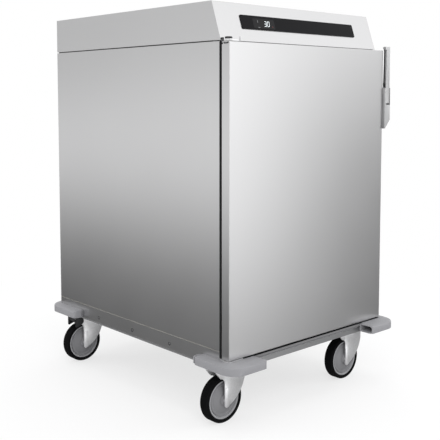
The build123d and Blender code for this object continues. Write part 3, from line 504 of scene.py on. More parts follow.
def build_moulded_group():
    """Moulded plastic or rubber: a fine skin texture with dust that lightens it in patches."""
    group, given = new_group("moulded skin", {
        "Colour": "Color", "Dust colour": "Color", "Dust": "Float", "Roughness": "Float",
        "Grain size": "Float", "Depth": "Float",
    })
    place = place_in(group)
    skin = node(group, "TexVoronoi", feature="SMOOTH_F1", Vector=place, Scale=given["Grain size"])
    bump = node(group, "Bump", Distance=0.0001, Strength=given["Depth"],
                Height=skin.outputs["Distance"])
    patches = noise(group, place, 28.0, 5.0, 0.6)
    dust = calc(group, "MULTIPLY", spread(group, patches, -0.6, 1.6), given["Dust"], clamp=True)
    shade = blend(group, "RGBA", dust, given["Colour"], given["Dust colour"])
    change = spread(group, patches, -0.06, 0.06)
    return put_out(group, shade, calc(group, "ADD", given["Roughness"], change),
                   bump.outputs["Normal"])


def build_spangle_group():
    """Zinc plating: faint crystal patches and handling marks."""
    group, given = new_group("zinc spangle", {
        "Colour": "Color", "Spangle": "Float", "Roughness": "Float",
    })
    place = place_in(group)
    crystals = node(group, "TexVoronoi", Vector=place, Scale=260.0)
    marks = noise(group, place, 60.0, 4.0, 0.6)
    grey = node(group, "SeparateColor", crystals.outputs["Color"]).outputs["Red"]
    shade = calc(group, "SUBTRACT", 1.0, calc(group, "MULTIPLY", grey, given["Spangle"]))
    change = spread(group, marks, -0.08, 0.12)
    bump = node(group, "Bump", Distance=0.0002, Strength=0.12, Height=marks)
    return put_out(group, tint(group, given["Colour"], shade),
                   calc(group, "ADD", given["Roughness"], change), bump.outputs["Normal"])


def new_material(name, group, values, **constants):
    """A material whose Principled shader is fed by one of the groups."""
    material = bpy.data.materials.new(name)
    material.use_nodes = True
    tree = material.node_tree
    shader = tree.nodes["Principled BSDF"]
    for key, value in constants.items():
        shader.inputs[key.replace("_", " ")].default_value = value
    effect = node(tree, "Group", node_tree=group, **values)
    for label, (_, target) in LOOKS.items():
        feed(tree, effect.outputs[label], shader.inputs[target])
    return material


def rgba(shade):
    """A colour with full alpha."""
    return (*shade, 1.0)


# Scale of the streaks along each axis, with the grain upright or from front to back
UPRIGHT_GRAIN = (320.0, 320.0, 2.0)
DEPTH_GRAIN = (320.0, 2.0, 320.0)

# Which finish each CAD node carries
FINISH_NODES = {
    "sheet steel": ["side_skirts", "floor_pan", "left_side_panel", "right_side_panel",
                    "front_frame", "back_panel", "roof_panel", "rear_grips", "door_outer_pan"],
    # sill steel is a darker copy of the stainless, painted shade
    "sill steel painted shade": ["drip_sill", "skirt_rivets"],
    "housing steel": ["top_housing", "vent_cover"],
    "liner steel": ["inner_liner", "air_baffle", "left_rack", "right_rack", "door_inner_panel"],
    "zinc plate": ["top_hinge_plate", "bottom_hinge_bracket", "hinge_pins", "caster_plates",
                   "caster_bolts"],
    "chassis paint": ["chassis_frame"],
    "seal rubber": ["door_gasket"],
    "seam seal": ["housing_seal"],
    "black plastic": ["controller_box", "cable_gland"],
    "panel glass": ["control_panel"],
    "foam": ["insulation", "door_core"],
    "tempered steel": ["heater_element", "temperature_probe"],
    "graphite bronze": ["door_bushes"],
    "cast aluminium": ["fan_motor", "impeller"],
}


class CART_OT_finishes(bpy.types.Operator):
    """Makes the finishes and gives them to the CAD nodes"""

    bl_idname = "cart.finishes"
    bl_label = "Finishes"

    def execute(self, context):
        shades = context.scene.cart_finishes
        brushed = build_brushed_group()
        moulded = build_moulded_group()
        spangle = build_spangle_group()

        def steel(name, shade, roughness, grain=UPRIGHT_GRAIN, depth=0.0):
            values = {"Colour": rgba(shade), "Grain": grain, "Depth": depth, "Roughness": roughness,
                      "Unevenness": shades.unevenness, "Edge": shades.edge}
            new_material(name, brushed, values, Metallic=1.0)

        def plastic(name, shade, roughness, dust=0.0, grain=900.0, depth=0.15, **constants):
            values = {"Colour": rgba(shade), "Dust colour": rgba(shades.dust), "Dust": dust,
                      "Roughness": roughness, "Grain size": grain, "Depth": depth}
            new_material(name, moulded, values, **constants)

        def plating(name, shade, roughness, patches=0.08, metal=1.0):
            values = {"Colour": rgba(shade), "Spangle": patches, "Roughness": roughness}
            new_material(name, spangle, values, Metallic=metal)

        steel("sheet steel", shades.sheet, 0.30)
        steel("housing steel", shades.housing, 0.32)
        # Painted shade: the stainless made darker for the sill and the skirt rivets
        steel("sill steel painted shade", shades.sill, 0.36)
        steel("liner steel", shades.liner, 0.45, grain=DEPTH_GRAIN)
        steel("tempered steel", shades.heater, 0.5, depth=0.02)
        steel("cast aluminium", shades.aluminium, 0.42, depth=0.03)
        plating("zinc plate", shades.zinc, 0.34, metal=0.6)
        plating("latch casting", shades.cast, 0.42, patches=0.02, metal=0.85)
        plating("graphite bronze", shades.bush, 0.5, patches=0.15)
        plastic("chassis paint", shades.chassis, 0.5, dust=0.05)
        # Chassis grey for the sill's stainless upstand: painted shade under the door
        plastic("sill upstand painted shade", shades.chassis, 0.5, dust=0.03, Specular_IOR_Level=0.2)
        plastic("bumper plastic", shades.bumper, 0.46, dust=0.03, depth=0.08)
        plastic("hub plastic", shades.hub, 0.42, dust=0.04, depth=0.06, Specular_IOR_Level=0.35)
        # Painted highlight: a paler copy of the hub plastic for the lip
        plastic("hub lip painted highlight", shades.lip, 0.38, dust=0.02, depth=0.04)
        plastic("tyre rubber", shades.tyre, 0.72, dust=0.003, depth=0.2, Specular_IOR_Level=0.06)
        plastic("seal rubber", shades.rubber, 0.8, dust=0.004, Specular_IOR_Level=0.1)
        plastic("seam seal", shades.seam, 0.8, dust=0.02, Specular_IOR_Level=0.1)
        plastic("black plastic", shades.black, 0.48, Specular_IOR_Level=0.3)
        plastic("panel glass", shades.panel, 0.22, depth=0.0, Specular_IOR_Level=0.06)
        plastic("display glass", shades.panel, 0.14, depth=0.0, Specular_IOR_Level=0.16)
        plastic("indicator print", shades.mark, 0.5, depth=0.0)
        plastic("indicator lamp", shades.lamp, 0.4, depth=0.0)
        plastic("foam", shades.foam, 0.85, grain=420.0, depth=0.7)
        plastic("lit digits", shades.digits, 0.4, depth=0.0, Emission_Strength=0.35,
                Emission_Color=rgba(shades.digits))
        for finish, names in FINISH_NODES.items():
            for name in names:
                mesh = frame["nodes"][name].data
                mesh.materials.clear()
                mesh.materials.append(bpy.data.materials[finish])
        return {"FINISHED"}


def other_half(side):
    """The points of a wheel's profile on the far side of its middle plane."""
    return [(radius, -run) for radius, run in reversed(side)]


def fit_wheels(profile, name, finish, stands_for, smooth):
    """Spins a part of a wheel and copies it to the other corners, each with its own mesh."""
    home = wheel_middle(CORNERS[0])
    steps = bpy.context.scene.cart_wheels.steps
    first = lathe(profile + profile[:1], home, DEEP, steps)
    for corner in CORNERS:
        piece = first if corner == CORNERS[0] else copy_to(first, wheel_middle(corner) - home)
        settle(piece, f"{name}_{corner}", f"wheel_{corner}", finish,
               [f"{stands_for}_{corner}"], smooth=smooth)


class CART_OT_tyres(bpy.types.Operator):
    """Makes the tyres, with fine grooves round the tread"""

    bl_idname = "cart.tyres"
    bl_label = "Tyres"

    def execute(self, context):
        sizes = context.scene.cart_wheels
        low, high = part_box("tyre_front_left")
        rim_low, rim_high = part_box("rim_front_left")
        radius = (high.z - low.z) / 2
        half = (high.y - low.y) / 2
        bore = (rim_high.z - rim_low.z) / 2
        flat = half - sizes.shoulder
        side = [
            (bore, half - sizes.bulge * 2),
            (bore + sizes.bulge, half - sizes.bulge),
            ((bore + radius) / 2, half),
            (radius - sizes.shoulder, half - sizes.bulge * 0.4),
            (radius - sizes.shoulder * 0.35, half - sizes.shoulder * 0.42),
            (radius, flat),
        ]
        tread = []
        pitch = flat * 2 / (sizes.groove_count + 1)
        lip = sizes.groove_width / 2
        floor = radius - sizes.groove_depth
        for index in range(sizes.groove_count):
            run = flat - pitch * (index + 1)
            tread += [(radius, run + lip), (floor, run + lip * 0.5), (floor, run - lip * 0.5),
                      (radius, run - lip)]
        profile = side + tread + other_half(side)
        fit_wheels(profile, "grooved_tyre", "tyre rubber", "tyre", 50)
        return {"FINISHED"}


class CART_OT_hubs(bpy.types.Operator):
    """Makes the wheel hubs: a dished web and the lip round it, painted paler as a highlight, with a
    dark groove between
    """

    bl_idname = "cart.hubs"
    bl_label = "Hubs"

    def execute(self, context):
        sizes = context.scene.cart_wheels
        low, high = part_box("rim_front_left")
        radius = (high.z - low.z) / 2
        boss = (high.y - low.y) / 2
        seat, web = sizes.seat_half, sizes.web_half
        outer_web = web - sizes.dish
        inside = radius - sizes.seat_lip
        floor = web - sizes.ring_depth
        groove = (inside - 0.0042, floor)
        web_side = [
            (0.0061, boss),
            (0.0128, boss),
            (0.0146, boss - 0.0016),
            (0.0150, web + 0.0022),
            (0.0165, web + 0.0010),
            (0.0200, web + 0.0008),
            (inside - 0.0122, outer_web + 0.0012),
            (inside - 0.0112, outer_web + 0.0004),
            (inside - 0.0104, outer_web + 0.0011),
            (inside - 0.0052, outer_web + 0.0008),
            (inside - 0.0046, outer_web),
            groove,
        ]
        # The lip, painted paler as a highlight
        highlight_lip_side = [
            groove,
            (inside - 0.0018, floor),
            (inside - 0.0012, seat - 0.0012),
            (inside, seat),
            (radius - 0.0012, seat),
            (radius, seat - 0.0010),
        ]
        for name, side, finish in (("hub_web", web_side, "hub plastic"),
                                   ("hub_lip_highlight", highlight_lip_side, "hub lip painted highlight")):
            fit_wheels(side + other_half(side), name, finish, "rim", 40)
        return {"FINISHED"}


class CART_OT_forks(bpy.types.Operator):
    """Rounds the pressed forks and tapers the ears at their heads"""

    bl_idname = "cart.forks"
    bl_label = "Forks"

    def execute(self, context):
        sizes = context.scene.cart_trim
        tip_reach = 0.0004
        head_height = 0.012
        for corner in CORNERS:
            low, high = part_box(f"fork_{corner}")
            tip, head = low.x + tip_reach, high.z - head_height
            piece = reshape(cad_copy(f"fork_{corner}"), "VERT",
                            lambda vert: vert.co.x < tip and vert.co.z < head,
                            bpy.ops.transform.translate, value=UP * sizes.ear_taper)
            settle(soften(piece, sizes.fork_round), f"pressed_fork_{corner}", f"swivel_{corner}",
                   "zinc plate", [f"fork_{corner}"])
        return {"FINISHED"}


class CART_OT_pedals(bpy.types.Operator):
    """Rounds the brake pedals, draws their toes in and gives them cheeks"""

    bl_idname = "cart.pedals"
    bl_label = "Brake pedals"

    def execute(self, context):
        sizes = context.scene.cart_trim
        for side in ("left", "right"):
            source = f"brake_pedal_rear_{side}"
            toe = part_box(source)[0].x
            fork_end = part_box(f"fork_rear_{side}")[0].x
            stop = fork_end - sizes.toe_reach
            piece = reshape(cad_copy(source), "VERT", lambda vert: vert.co.x < stop,
                            bpy.ops.transform.translate, value=ACROSS * (stop - toe))
            parts = [soften(piece, sizes.edge_round)] + self.make_cheeks(side, fork_end, sizes)
            settle(join(parts), f"toe_pedal_rear_{side}", f"pedal_rear_{side}",
                   "black plastic", [source])
        return {"FINISHED"}

    def make_cheeks(self, side, fork_end, sizes):
        """The two cheeks that cover the ears of the fork."""
        outline = mm(
            (-1.2, 120), (3, 117), (15, 120.5), (24, 125), (30, 131), (30, 150), (28, 152),
            (1, 152), (-1.2, 150),
        )
        cheeks = []
        for hand in (-1, 1):
            y = middle(f"fork_rear_{side}").y + hand * sizes.cheek_reach
            points = [Vector((fork_end + x, y, z)) for x, z in outline]
            cheek = slab(points, DEEP * hand * sizes.cheek_sheet)
            cheeks.append(soften(cheek, sizes.edge_round / 2))
        return cheeks


class CART_OT_bumpers(bpy.types.Operator):
    """Rounds the moulded corner bumpers and caps the ends of their side arms"""

    bl_idname = "cart.bumpers"
    bl_label = "Bumpers"

    def execute(self, context):
        sizes = context.scene.cart_trim
        for corner in CORNERS:
            low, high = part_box(f"bumper_{corner}")
            centre = (low + high) / 2
            outward = Vector((1 if centre.x > 0 else -1, 1 if centre.y > 0 else -1, 0))
            piece = cad_copy(f"bumper_{corner}")
            self.round_rim(piece, outward, 1, sizes.bumper_crown, 5)
            self.round_rim(piece, outward, -1, sizes.bumper_foot, 3)
            self.finish(soften(piece, sizes.edge_round, 2, 40), f"moulded_bumper_{corner}",
                        [f"bumper_{corner}"])
            self.cap_arm(corner, low, high, outward, sizes)
        return {"FINISHED"}

    def finish(self, piece, name, replaced=()):
        settle(piece, name, "cabinet", "bumper plastic", replaced, smooth=45)

    def round_rim(self, piece, outward, side, width, segments):
        """Rounds the outer edge of the top, or of the bottom where side is -1."""
        level, upright, facing = 0.9, 0.2, 0.4

        def on_rim(edge):
            normals = [face.normal for face in edge.link_faces]
            flat = any(normal.z * side > level for normal in normals)
            return flat and any(
                abs(normal.z) < upright and normal.dot(outward) > facing for normal in normals
            )

        reshape(piece, "EDGE", on_rim, bpy.ops.mesh.bevel, offset=width, segments=segments,
                profile=0.5, affect="EDGES", clamp_overlap=True)

    def cap_arm(self, corner, low, high, outward, sizes):
        """Closes a side arm with a cap a little smaller than its section."""
        margin = 0.0012
        width = 0.0235
        nick = 0.0025
        cut = 0.0055
        shoulder = cut * 0.3
        thickness = 0.004
        outer = (high.x if outward.x > 0 else low.x) - outward.x * margin
        end = low.y if outward.y > 0 else high.y
        face = end - outward.y * sizes.cap_rise
        top, foot = high.z - margin, low.z + margin
        section = [
            (width, foot), (nick, foot), (0, foot + nick), (0, top - cut),
            (shoulder, top - shoulder), (cut, top), (width, top),
        ]
        outline = [Vector((outer - outward.x * inset, face, z)) for inset, z in section]
        cap = slab(outline, DEEP * outward.y * thickness)
        self.finish(soften(cap, sizes.cap_rise, 3, 40), f"bumper_end_cap_{corner}")


def fascia_point(across, down, out):
    """A point on the leaning fascia, from the middle of its top edge."""
    low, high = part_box("top_housing")
    head = Vector((0, low.y + bpy.context.scene.cart_trim.fascia_lean, high.z))
    slope = (Vector((0, low.y, low.z)) - head).normalized()
    normal = Vector((0, slope.z, -slope.y))
    return head + ACROSS * across + slope * down + normal * out


# Outlines on the fascia, across and down, with each one's finish and rise over the panel
PANEL_PRINTS = {
    "display_window": ("display glass", 0.0, mm(
        (-184, 40), (-108, 40), (-106, 42), (-106, 65.5), (-108, 67.5), (-184, 67.5), (-186, 65.5),
        (-186, 42),
    )),
    "indicator_mark_1": ("indicator print", 0.0002, mm(
        (-169, 44.5), (-167.5, 44), (-167.2, 51), (-168.8, 51.5),
    )),
    "indicator_mark_2": ("indicator print", 0.0002, mm(
        (-170, 64), (-163, 63.6), (-162.8, 65.2), (-169.8, 65.6),
    )),
    "indicator_mark_3": ("indicator lamp", 0.0002, mm(
        (-116.5, 60), (-115, 58.8), (-113.2, 60), (-113.2, 61.8), (-115, 63), (-116.5, 61.8),
    )),
}

# Ends of each stroke of a digit, in digit widths and heights
STROKES = {
    "a": ((0, 0), (1, 0)), "g": ((0, 0.5), (1, 0.5)), "d": ((0, 1), (1, 1)),
    "f": ((0, 0), (0, 0.5)), "b": ((1, 0), (1, 0.5)), "e": ((0, 0.5), (0, 1)),
    "c": ((1, 0.5), (1, 1)),
}
SEGMENTS = {"3": "abcdg", "0": "abcdef"}


class CART_OT_display(bpy.types.Operator):
    """Makes the panel's display window, its lit digits and its indicator marks"""

    bl_idname = "cart.display"
    bl_label = "Display"

    def execute(self, context):
        sizes = context.scene.cart_trim
        face = sizes.panel_rise
        for name, (finish, rise, corners) in PANEL_PRINTS.items():
            outline = [fascia_point(x, down, face + rise) for x, down in corners]
            self.finish(slab(outline, self.sheet(sizes)), name, finish)
        for index, digit in enumerate("30"):
            left = sizes.digit_left + index * (sizes.digit_width + sizes.digit_gap)
            strokes = [self.make_stroke(left, STROKES[name], sizes) for name in SEGMENTS[digit]]
            self.finish(join(strokes), f"display_digit_{index + 1}", "lit digits")
        return {"FINISHED"}

    def finish(self, piece, name, finish):
        settle(piece, name, "cabinet", finish)

    def sheet(self, sizes):
        """The thickness of a print, outward from the fascia."""
        return fascia_point(0, 0, sizes.print_sheet) - fascia_point(0, 0, 0)

    def make_stroke(self, left, ends, sizes):
        """One pointed stroke of a leaning digit."""
        tall = sizes.digit_height
        half = sizes.digit_stroke / 2
        start, end = (Vector((x * sizes.digit_width, y * tall)) for x, y in ends)
        along = (end - start).normalized()
        aside = Vector((-along.y, along.x)) * half
        tip = along * half
        corners = [start + tip * 0.15, start + tip + aside, end - tip + aside, end - tip * 0.15,
                   end - tip - aside, start + tip - aside]
        outline = []
        for corner in corners:
            slant = (tall - corner.y) * sizes.digit_slant
            outline.append(fascia_point(left + corner.x + slant, sizes.digit_top + corner.y,
                                        sizes.panel_rise + sizes.print_sheet))
        return slab(outline, self.sheet(sizes))


class CART_OT_latch(bpy.types.Operator):
    """Rounds the latch and its strike, thins the lever's grip and trims it with rubber"""

    bl_idname = "cart.latch"
    bl_label = "Latch"

    def execute(self, context):
        sizes = context.scene.cart_trim
        for source, name, body, slot, finish in (
            ("latch_body", "latch_case", "door", "cast_latch", "latch casting"),
            ("latch_claw", "claw_hook", "latch", "zinc", "zinc plate"),
            ("strike_plate", "strike", "cabinet", "cast_latch", "latch casting"),
        ):
            settle(soften(cad_copy(source), sizes.edge_round), name, body, finish, [source])
        low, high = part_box("lever_grip")
        back = low.y + sizes.lever_back
        self.make_lever(low, back, sizes)
        self.make_trim(low, high, back, sizes)
        return {"FINISHED"}

    def make_lever(self, low, back, sizes):
        """The lever, with the back of its grip brought forward to a thin blade."""
        foot = low.z - 0.003
        near = 1e-5
        lever = reshape(cad_copy("latch_lever"), "VERT",
                        lambda vert: vert.co.z > foot and vert.co.y > back,
                        bpy.ops.transform.resize, value=(1, 0, 1), center_override=(0, back, 0))
        for mend in (bpy.ops.mesh.remove_doubles, bpy.ops.mesh.dissolve_degenerate):
            reshape(lever, "VERT", lambda vert: True, mend, threshold=near)
        settle(soften(lever, sizes.edge_round), "pull_lever", "latch",
               "latch casting", ["latch_lever"])

    def make_trim(self, low, high, back, sizes):
        """The rubber trim down the lever's back edge, curled at its top and thick at its foot."""
        outline = [
            (back - 0.0020, low.z + 0.009), (back - 0.0020, high.z - 0.001),
            (back + 0.0022, high.z + 0.0075), (back + 0.0040, high.z + 0.0070),
            (back, high.z - 0.002), (back, low.z + 0.009), (back + 0.0022, low.z + 0.006),
            (back + 0.0022, low.z - 0.001), (back - 0.0030, low.z - 0.0065),
            (back - 0.0052, low.z - 0.0055), (back - 0.0030, low.z + 0.004),
        ]
        trim = slab([Vector((low.x, y, z)) for y, z in outline], ACROSS * (high.x - low.x))
        settle(soften(trim, sizes.fine_round), "lever_trim", "latch",
               "seal rubber", ["lever_grip"])


class CART_OT_seals(bpy.types.Operator):
    """Makes the black seals beside and under the door, and the sill's upstand. The seal under the
    door is a rubber sweep whose black also stands in as painted shade in the gap, and the upstand's
    steel carries chassis grey as painted shade
    """

    bl_idname = "cart.seals"
    bl_label = "Seals"

    def execute(self, context):
        clear = 0.0005
        setback = 0.012
        end_gap = 0.0012
        low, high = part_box("front_frame")
        corner = Vector((low.x, low.y, low.z + clear))
        ribs = mm(
            (-0.6, 2.4), (-0.8, 1.8), (-0.8, -1.8), (-0.2, -2.4), (3.6, -2.4), (4.1, -1.6),
            (4.6, -2.4), (8, -2.4), (8.5, 0), (0.1, 0), (0.1, 2.4),
        )
        outline = [corner + ACROSS * x + DEEP * y for x, y in ribs]
        settle(slab(outline, UP * (high.z - low.z - clear * 2)), "hinge_side_seal", "cabinet",
               "seal rubber")
        sill_low, sill_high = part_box("drip_sill")
        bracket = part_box("bottom_hinge_bracket")[1]
        start = Vector((bracket.x + clear, sill_low.y + setback, 0))
        run = ACROSS * (sill_high.x - end_gap - start.x)
        # A black rubber sweep under the door, whose black also stands in as painted shade in the
        # gap
        blade = mm(
            (0, 166.5), (0, 188), (0.6, 188.8), (2.2, 188.8), (3, 187.8), (3, 180), (3.6, 179),
            (3.6, 166.5),
        )
        # The stainless upstand, in chassis grey as painted shade
        upstand = mm(
            (-9, 170), (-9, 183.8), (-8.6, 184.8), (-7.8, 185.2), (-6.6, 185.2), (-6.6, 184.4),
            (-7.6, 184.2), (-8, 183.4), (-8, 170),
        )
        for profile, name, slot, finish in (
            (blade, "sill_sweep_and_shade", "seal_rubber", "seal rubber"),
            (upstand, "sill_upstand", "stainless", "sill upstand painted shade"),
        ):
            outline = [start + DEEP * y + UP * z for y, z in profile]
            settle(slab(outline, run), name, "cabinet", finish)
        return {"FINISHED"}


class CART_OT_hinge_trim(bpy.types.Operator):
    """Makes the pin cap, screw and end lip of the top hinge plate, and black pieces that stand in
    as painted shade round the hinge: a ring round the pin, a strip along the plate's edge and
    plates on the door's top corner
    """

    bl_idname = "cart.hinge_trim"
    bl_label = "Hinge trim"

    def execute(self, context):
        screw_in, screw_back = 0.0048, 0.0165
        shade_strip_proud, shade_strip_sheet = 0.0006, 0.0010
        lip_sheet = 0.0012
        shade_plate_proud, shade_plate_sheet = 0.0007, 0.0012
        low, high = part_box("top_hinge_plate")
        centre = middle("hinge_pins")
        pin_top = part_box("hinge_pins")[1].z
        turned = (
            ("hinge_pin_cap", (centre.x, centre.y, pin_top), 40, mm(
                (0, 0.8), (8.8, 0.8), (9.4, 1.6), (9.4, 3.8), (8.2, 5), (0, 5.4),
            )),
            # A black ring round the pin: painted shade of the recess round it
            ("hinge_pin_shade_ring", (centre.x, centre.y, high.z), 40, mm(
                (8.2, 0), (10, 0), (10, 0.9), (8.2, 0.9), (8.2, 0),
            )),
            ("hinge_plate_screw", (low.x + screw_in, centre.y + screw_back, high.z), 32, mm(
                (0, 6.2), (1.2, 6.2), (1.2, 4.4), (1.6, 4.4), (3.2, 6), (3.6, 5.2), (3.6, 0),
                (0, 0),
            )),
        )
        for name, place, steps, profile in turned:
            self.finish(lathe(profile, Vector(place), UP, steps), name)
        # A thin black strip along the plate's edge: painted shade of the gap there
        slot = mm((6, 0.3), (46.5, 0.3), (46.5, 2.7), (6, 2.7))
        self.finish(self.plate(slot, low.x - shade_strip_proud, centre.y, low.z, shade_strip_sheet),
                    "hinge_plate_shade_strip")
        lip = mm((0, -1.4), (0, 8.2), (0.8, 9.2), (5, 9.2), (5.8, 8.2), (5.8, -1.4))
        end = self.plate(lip, high.x - lip_sheet, low.y, high.z, lip_sheet)
        settle(soften(end, context.scene.cart_trim.fine_round), "hinge_plate_lip", "cabinet",
               "zinc plate")
        door_low, door_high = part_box("door_outer_pan")
        # Black plates on the door's top corner by the pin: painted shade round the hinge
        hinge_shade_outline = mm(
            (-10.5, -3.8), (-7, -6.2), (4, -6.2), (7.2, -4.8), (6.4, -1.8), (3.6, -3), (-6, -3),
            (-9.5, -1),
        )
        corner_shade_outline = mm(
            (10, -6.2), (11.2, -7.2), (12.6, -7.2), (13.6, -6.2), (13.6, -3.6), (12.6, -2.6),
            (11.2, -2.6), (10, -3.6),
        )
        for name, outline in (("door_hinge_shade_plate", hinge_shade_outline), ("door_corner_shade_plate", corner_shade_outline)):
            plate = self.plate(outline, door_low.x - shade_plate_proud, centre.y, door_high.z,
                               shade_plate_sheet)
            self.finish(plate, name, "door")
        return {"FINISHED"}

    def finish(self, piece, name, body="cabinet"):
        settle(piece, name, body, "black plastic")

    def plate(self, outline, x, y, z, thickness):
        """A plate across the cart, with its outline from a place."""
        points = [Vector((x, y + out, z + rise)) for out, rise in outline]
        return slab(points, ACROSS * thickness)


# Places of the screws of the back panel: from the middle, and over the floor
PANEL_SCREWS = [(x, z) for x in (-0.296, 0.296) for z in (0.235, 0.480, 0.725, 0.970)]
PANEL_SCREWS += [(x, z) for x in (-0.100, 0.100) for z in (0.235, 0.970)]


class CART_OT_fasteners(bpy.types.Operator):
    """Makes the washers of the skirt rivets and the screws of the back"""

    bl_idname = "cart.fasteners"
    bl_label = "Fasteners"

    def execute(self, context):
        self.make_collars()
        self.make_screws(context.scene.cart_trim)
        return {"FINISHED"}

    def make_collars(self):
        """A ring round each rivet of the skirts."""
        skirt_low, skirt_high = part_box("side_skirts")
        low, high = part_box("skirt_rivets")
        level = (low.z + high.z) / 2
        reach = (high.z - low.z) / 2
        spots = (low.y + reach, (low.y + high.y) / 2, high.y - reach)
        ring = [(reach * 0.9, 0.0), (reach * 1.45, 0.0), (reach * 1.5, 0.0003),
                (reach * 1.35, 0.0006), (reach * 0.9, 0.0006), (reach * 0.9, 0.0)]
        for side, x, name in ((-1, skirt_low.x, "left"), (1, skirt_high.x, "right")):
            profile = [(radius, run * side) for radius, run in ring]
            rings = [lathe(profile, Vector((x, y, level)), ACROSS, 24) for y in spots]
            settle(join(rings), f"rivet_collars_{name}", "cabinet", "seal rubber")

    def make_screws(self, sizes):
        """The screws of the vent cover and the back panel, copied from the first."""
        head = sizes.screw_radius
        rise = sizes.screw_rise
        inset = 0.006
        seat = 0.0035
        screw = [(0.0, rise * 0.35), (head * 0.35, rise * 0.35), (head * 0.42, rise * 0.95),
                 (head * 0.70, rise * 0.85), (head * 0.95, rise * 0.35), (head, 0.0), (0.0, 0.0)]
        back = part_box("back_panel")[1].y
        low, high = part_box("vent_cover")
        places = [Vector((x, high.y - seat, z)) for x in (low.x + inset, high.x - inset)
                  for z in (low.z + inset, high.z - inset)]
        places += [Vector((x, back, z)) for x, z in PANEL_SCREWS]
        first = lathe(screw, places[0], DEEP, 20)
        for index, place in enumerate(places):
            piece = copy_to(first, place - places[0]) if index else first
            settle(piece, f"back_screw_{index + 1}", "cabinet", "zinc plate")


# Brightness of the studio as gloss sees it, as pairs of a direction's slope and a strength
CARD_WALLS = (
    (-1.0, 0.60), (-0.74, 0.26), (-0.60, 0.03), (-0.44, 0.0), (-0.34, 0.02), (-0.27, 0.40),
    (-0.18, 1.10), (-0.08, 1.38), (0.04, 1.24), (0.14, 0.72), (0.30, 0.80), (1.0, 1.0),
)
CARD_PEAK = 2.0

# Cards from one turn to another, in degrees from the right side toward the front, with the
# axes along and across the way that each one faces
CARD_SIDES = {
    "far wall": ((-128, -123, -70, -40), "XY", (
        (-1.0, 0.55), (-0.74, 0.22), (-0.60, 0.0), (-0.44, 0.0), (-0.34, 0.0), (-0.27, 0.22),
        (-0.18, 0.90), (-0.08, 1.16), (0.04, 0.96), (0.14, 0.52), (0.30, 0.70), (1.0, 1.0),
    )),
    "bright softbox": ((41.8, 44.2, 75, 95), "YX", (
        (-1.0, 0.34), (-0.60, 0.42), (-0.45, 0.63), (-0.37, 0.98), (-0.29, 1.40), (-0.20, 1.76),
        (-0.10, 1.90), (0.10, 1.82), (0.60, 1.62), (1.0, 1.45),
    )),
    "dark flag": ((5, 20, 41.8, 44.2), "YX", (
        (-1.0, 0.0), (-0.30, 0.0), (-0.22, 0.03), (-0.14, 0.12), (-0.07, 0.24), (0.0, 0.38),
        (0.08, 0.62), (0.20, 1.10), (0.60, 1.45), (1.0, 1.30),
    )),
}

# Name, place, size and power of each lamp, and the point that they all aim at
LAMPS = (
    ("front_softbox", (-2.0, -3.0, 2.6), 1.8, 42.0),
    ("right_softbox", (2.6, -2.2, 1.9), 1.6, 26.0),
    ("back_softbox", (-2.6, 2.4, 2.0), 1.6, 22.0),
    ("top_softbox", (0.2, 0.0, 3.2), 2.4, 30.0),
)
LAMP_AIM = Vector((0, 0, 0.55))


def seen_rays(tree):
    """1 for rays that the camera, a gloss or glass sends out, and 0 for the others."""
    rays = node(tree, "LightPath").outputs
    total = calc(tree, "ADD", rays["Is Camera Ray"], rays["Is Glossy Ray"])
    return calc(tree, "ADD", total, rays["Is Transmission Ray"], clamp=True)


def mix_shaders(tree, amount, first, second):
    """Mixes two shaders."""
    return node(tree, "MixShader", amount, first.outputs[0], second.outputs[0]).outputs["Shader"]


def new_stage_material(piece, name):
    """A material for a piece of the stage, and its node tree."""
    material = bpy.data.materials.new(name)
    material.use_nodes = True
    piece.data.materials.append(material)
    return material.node_tree


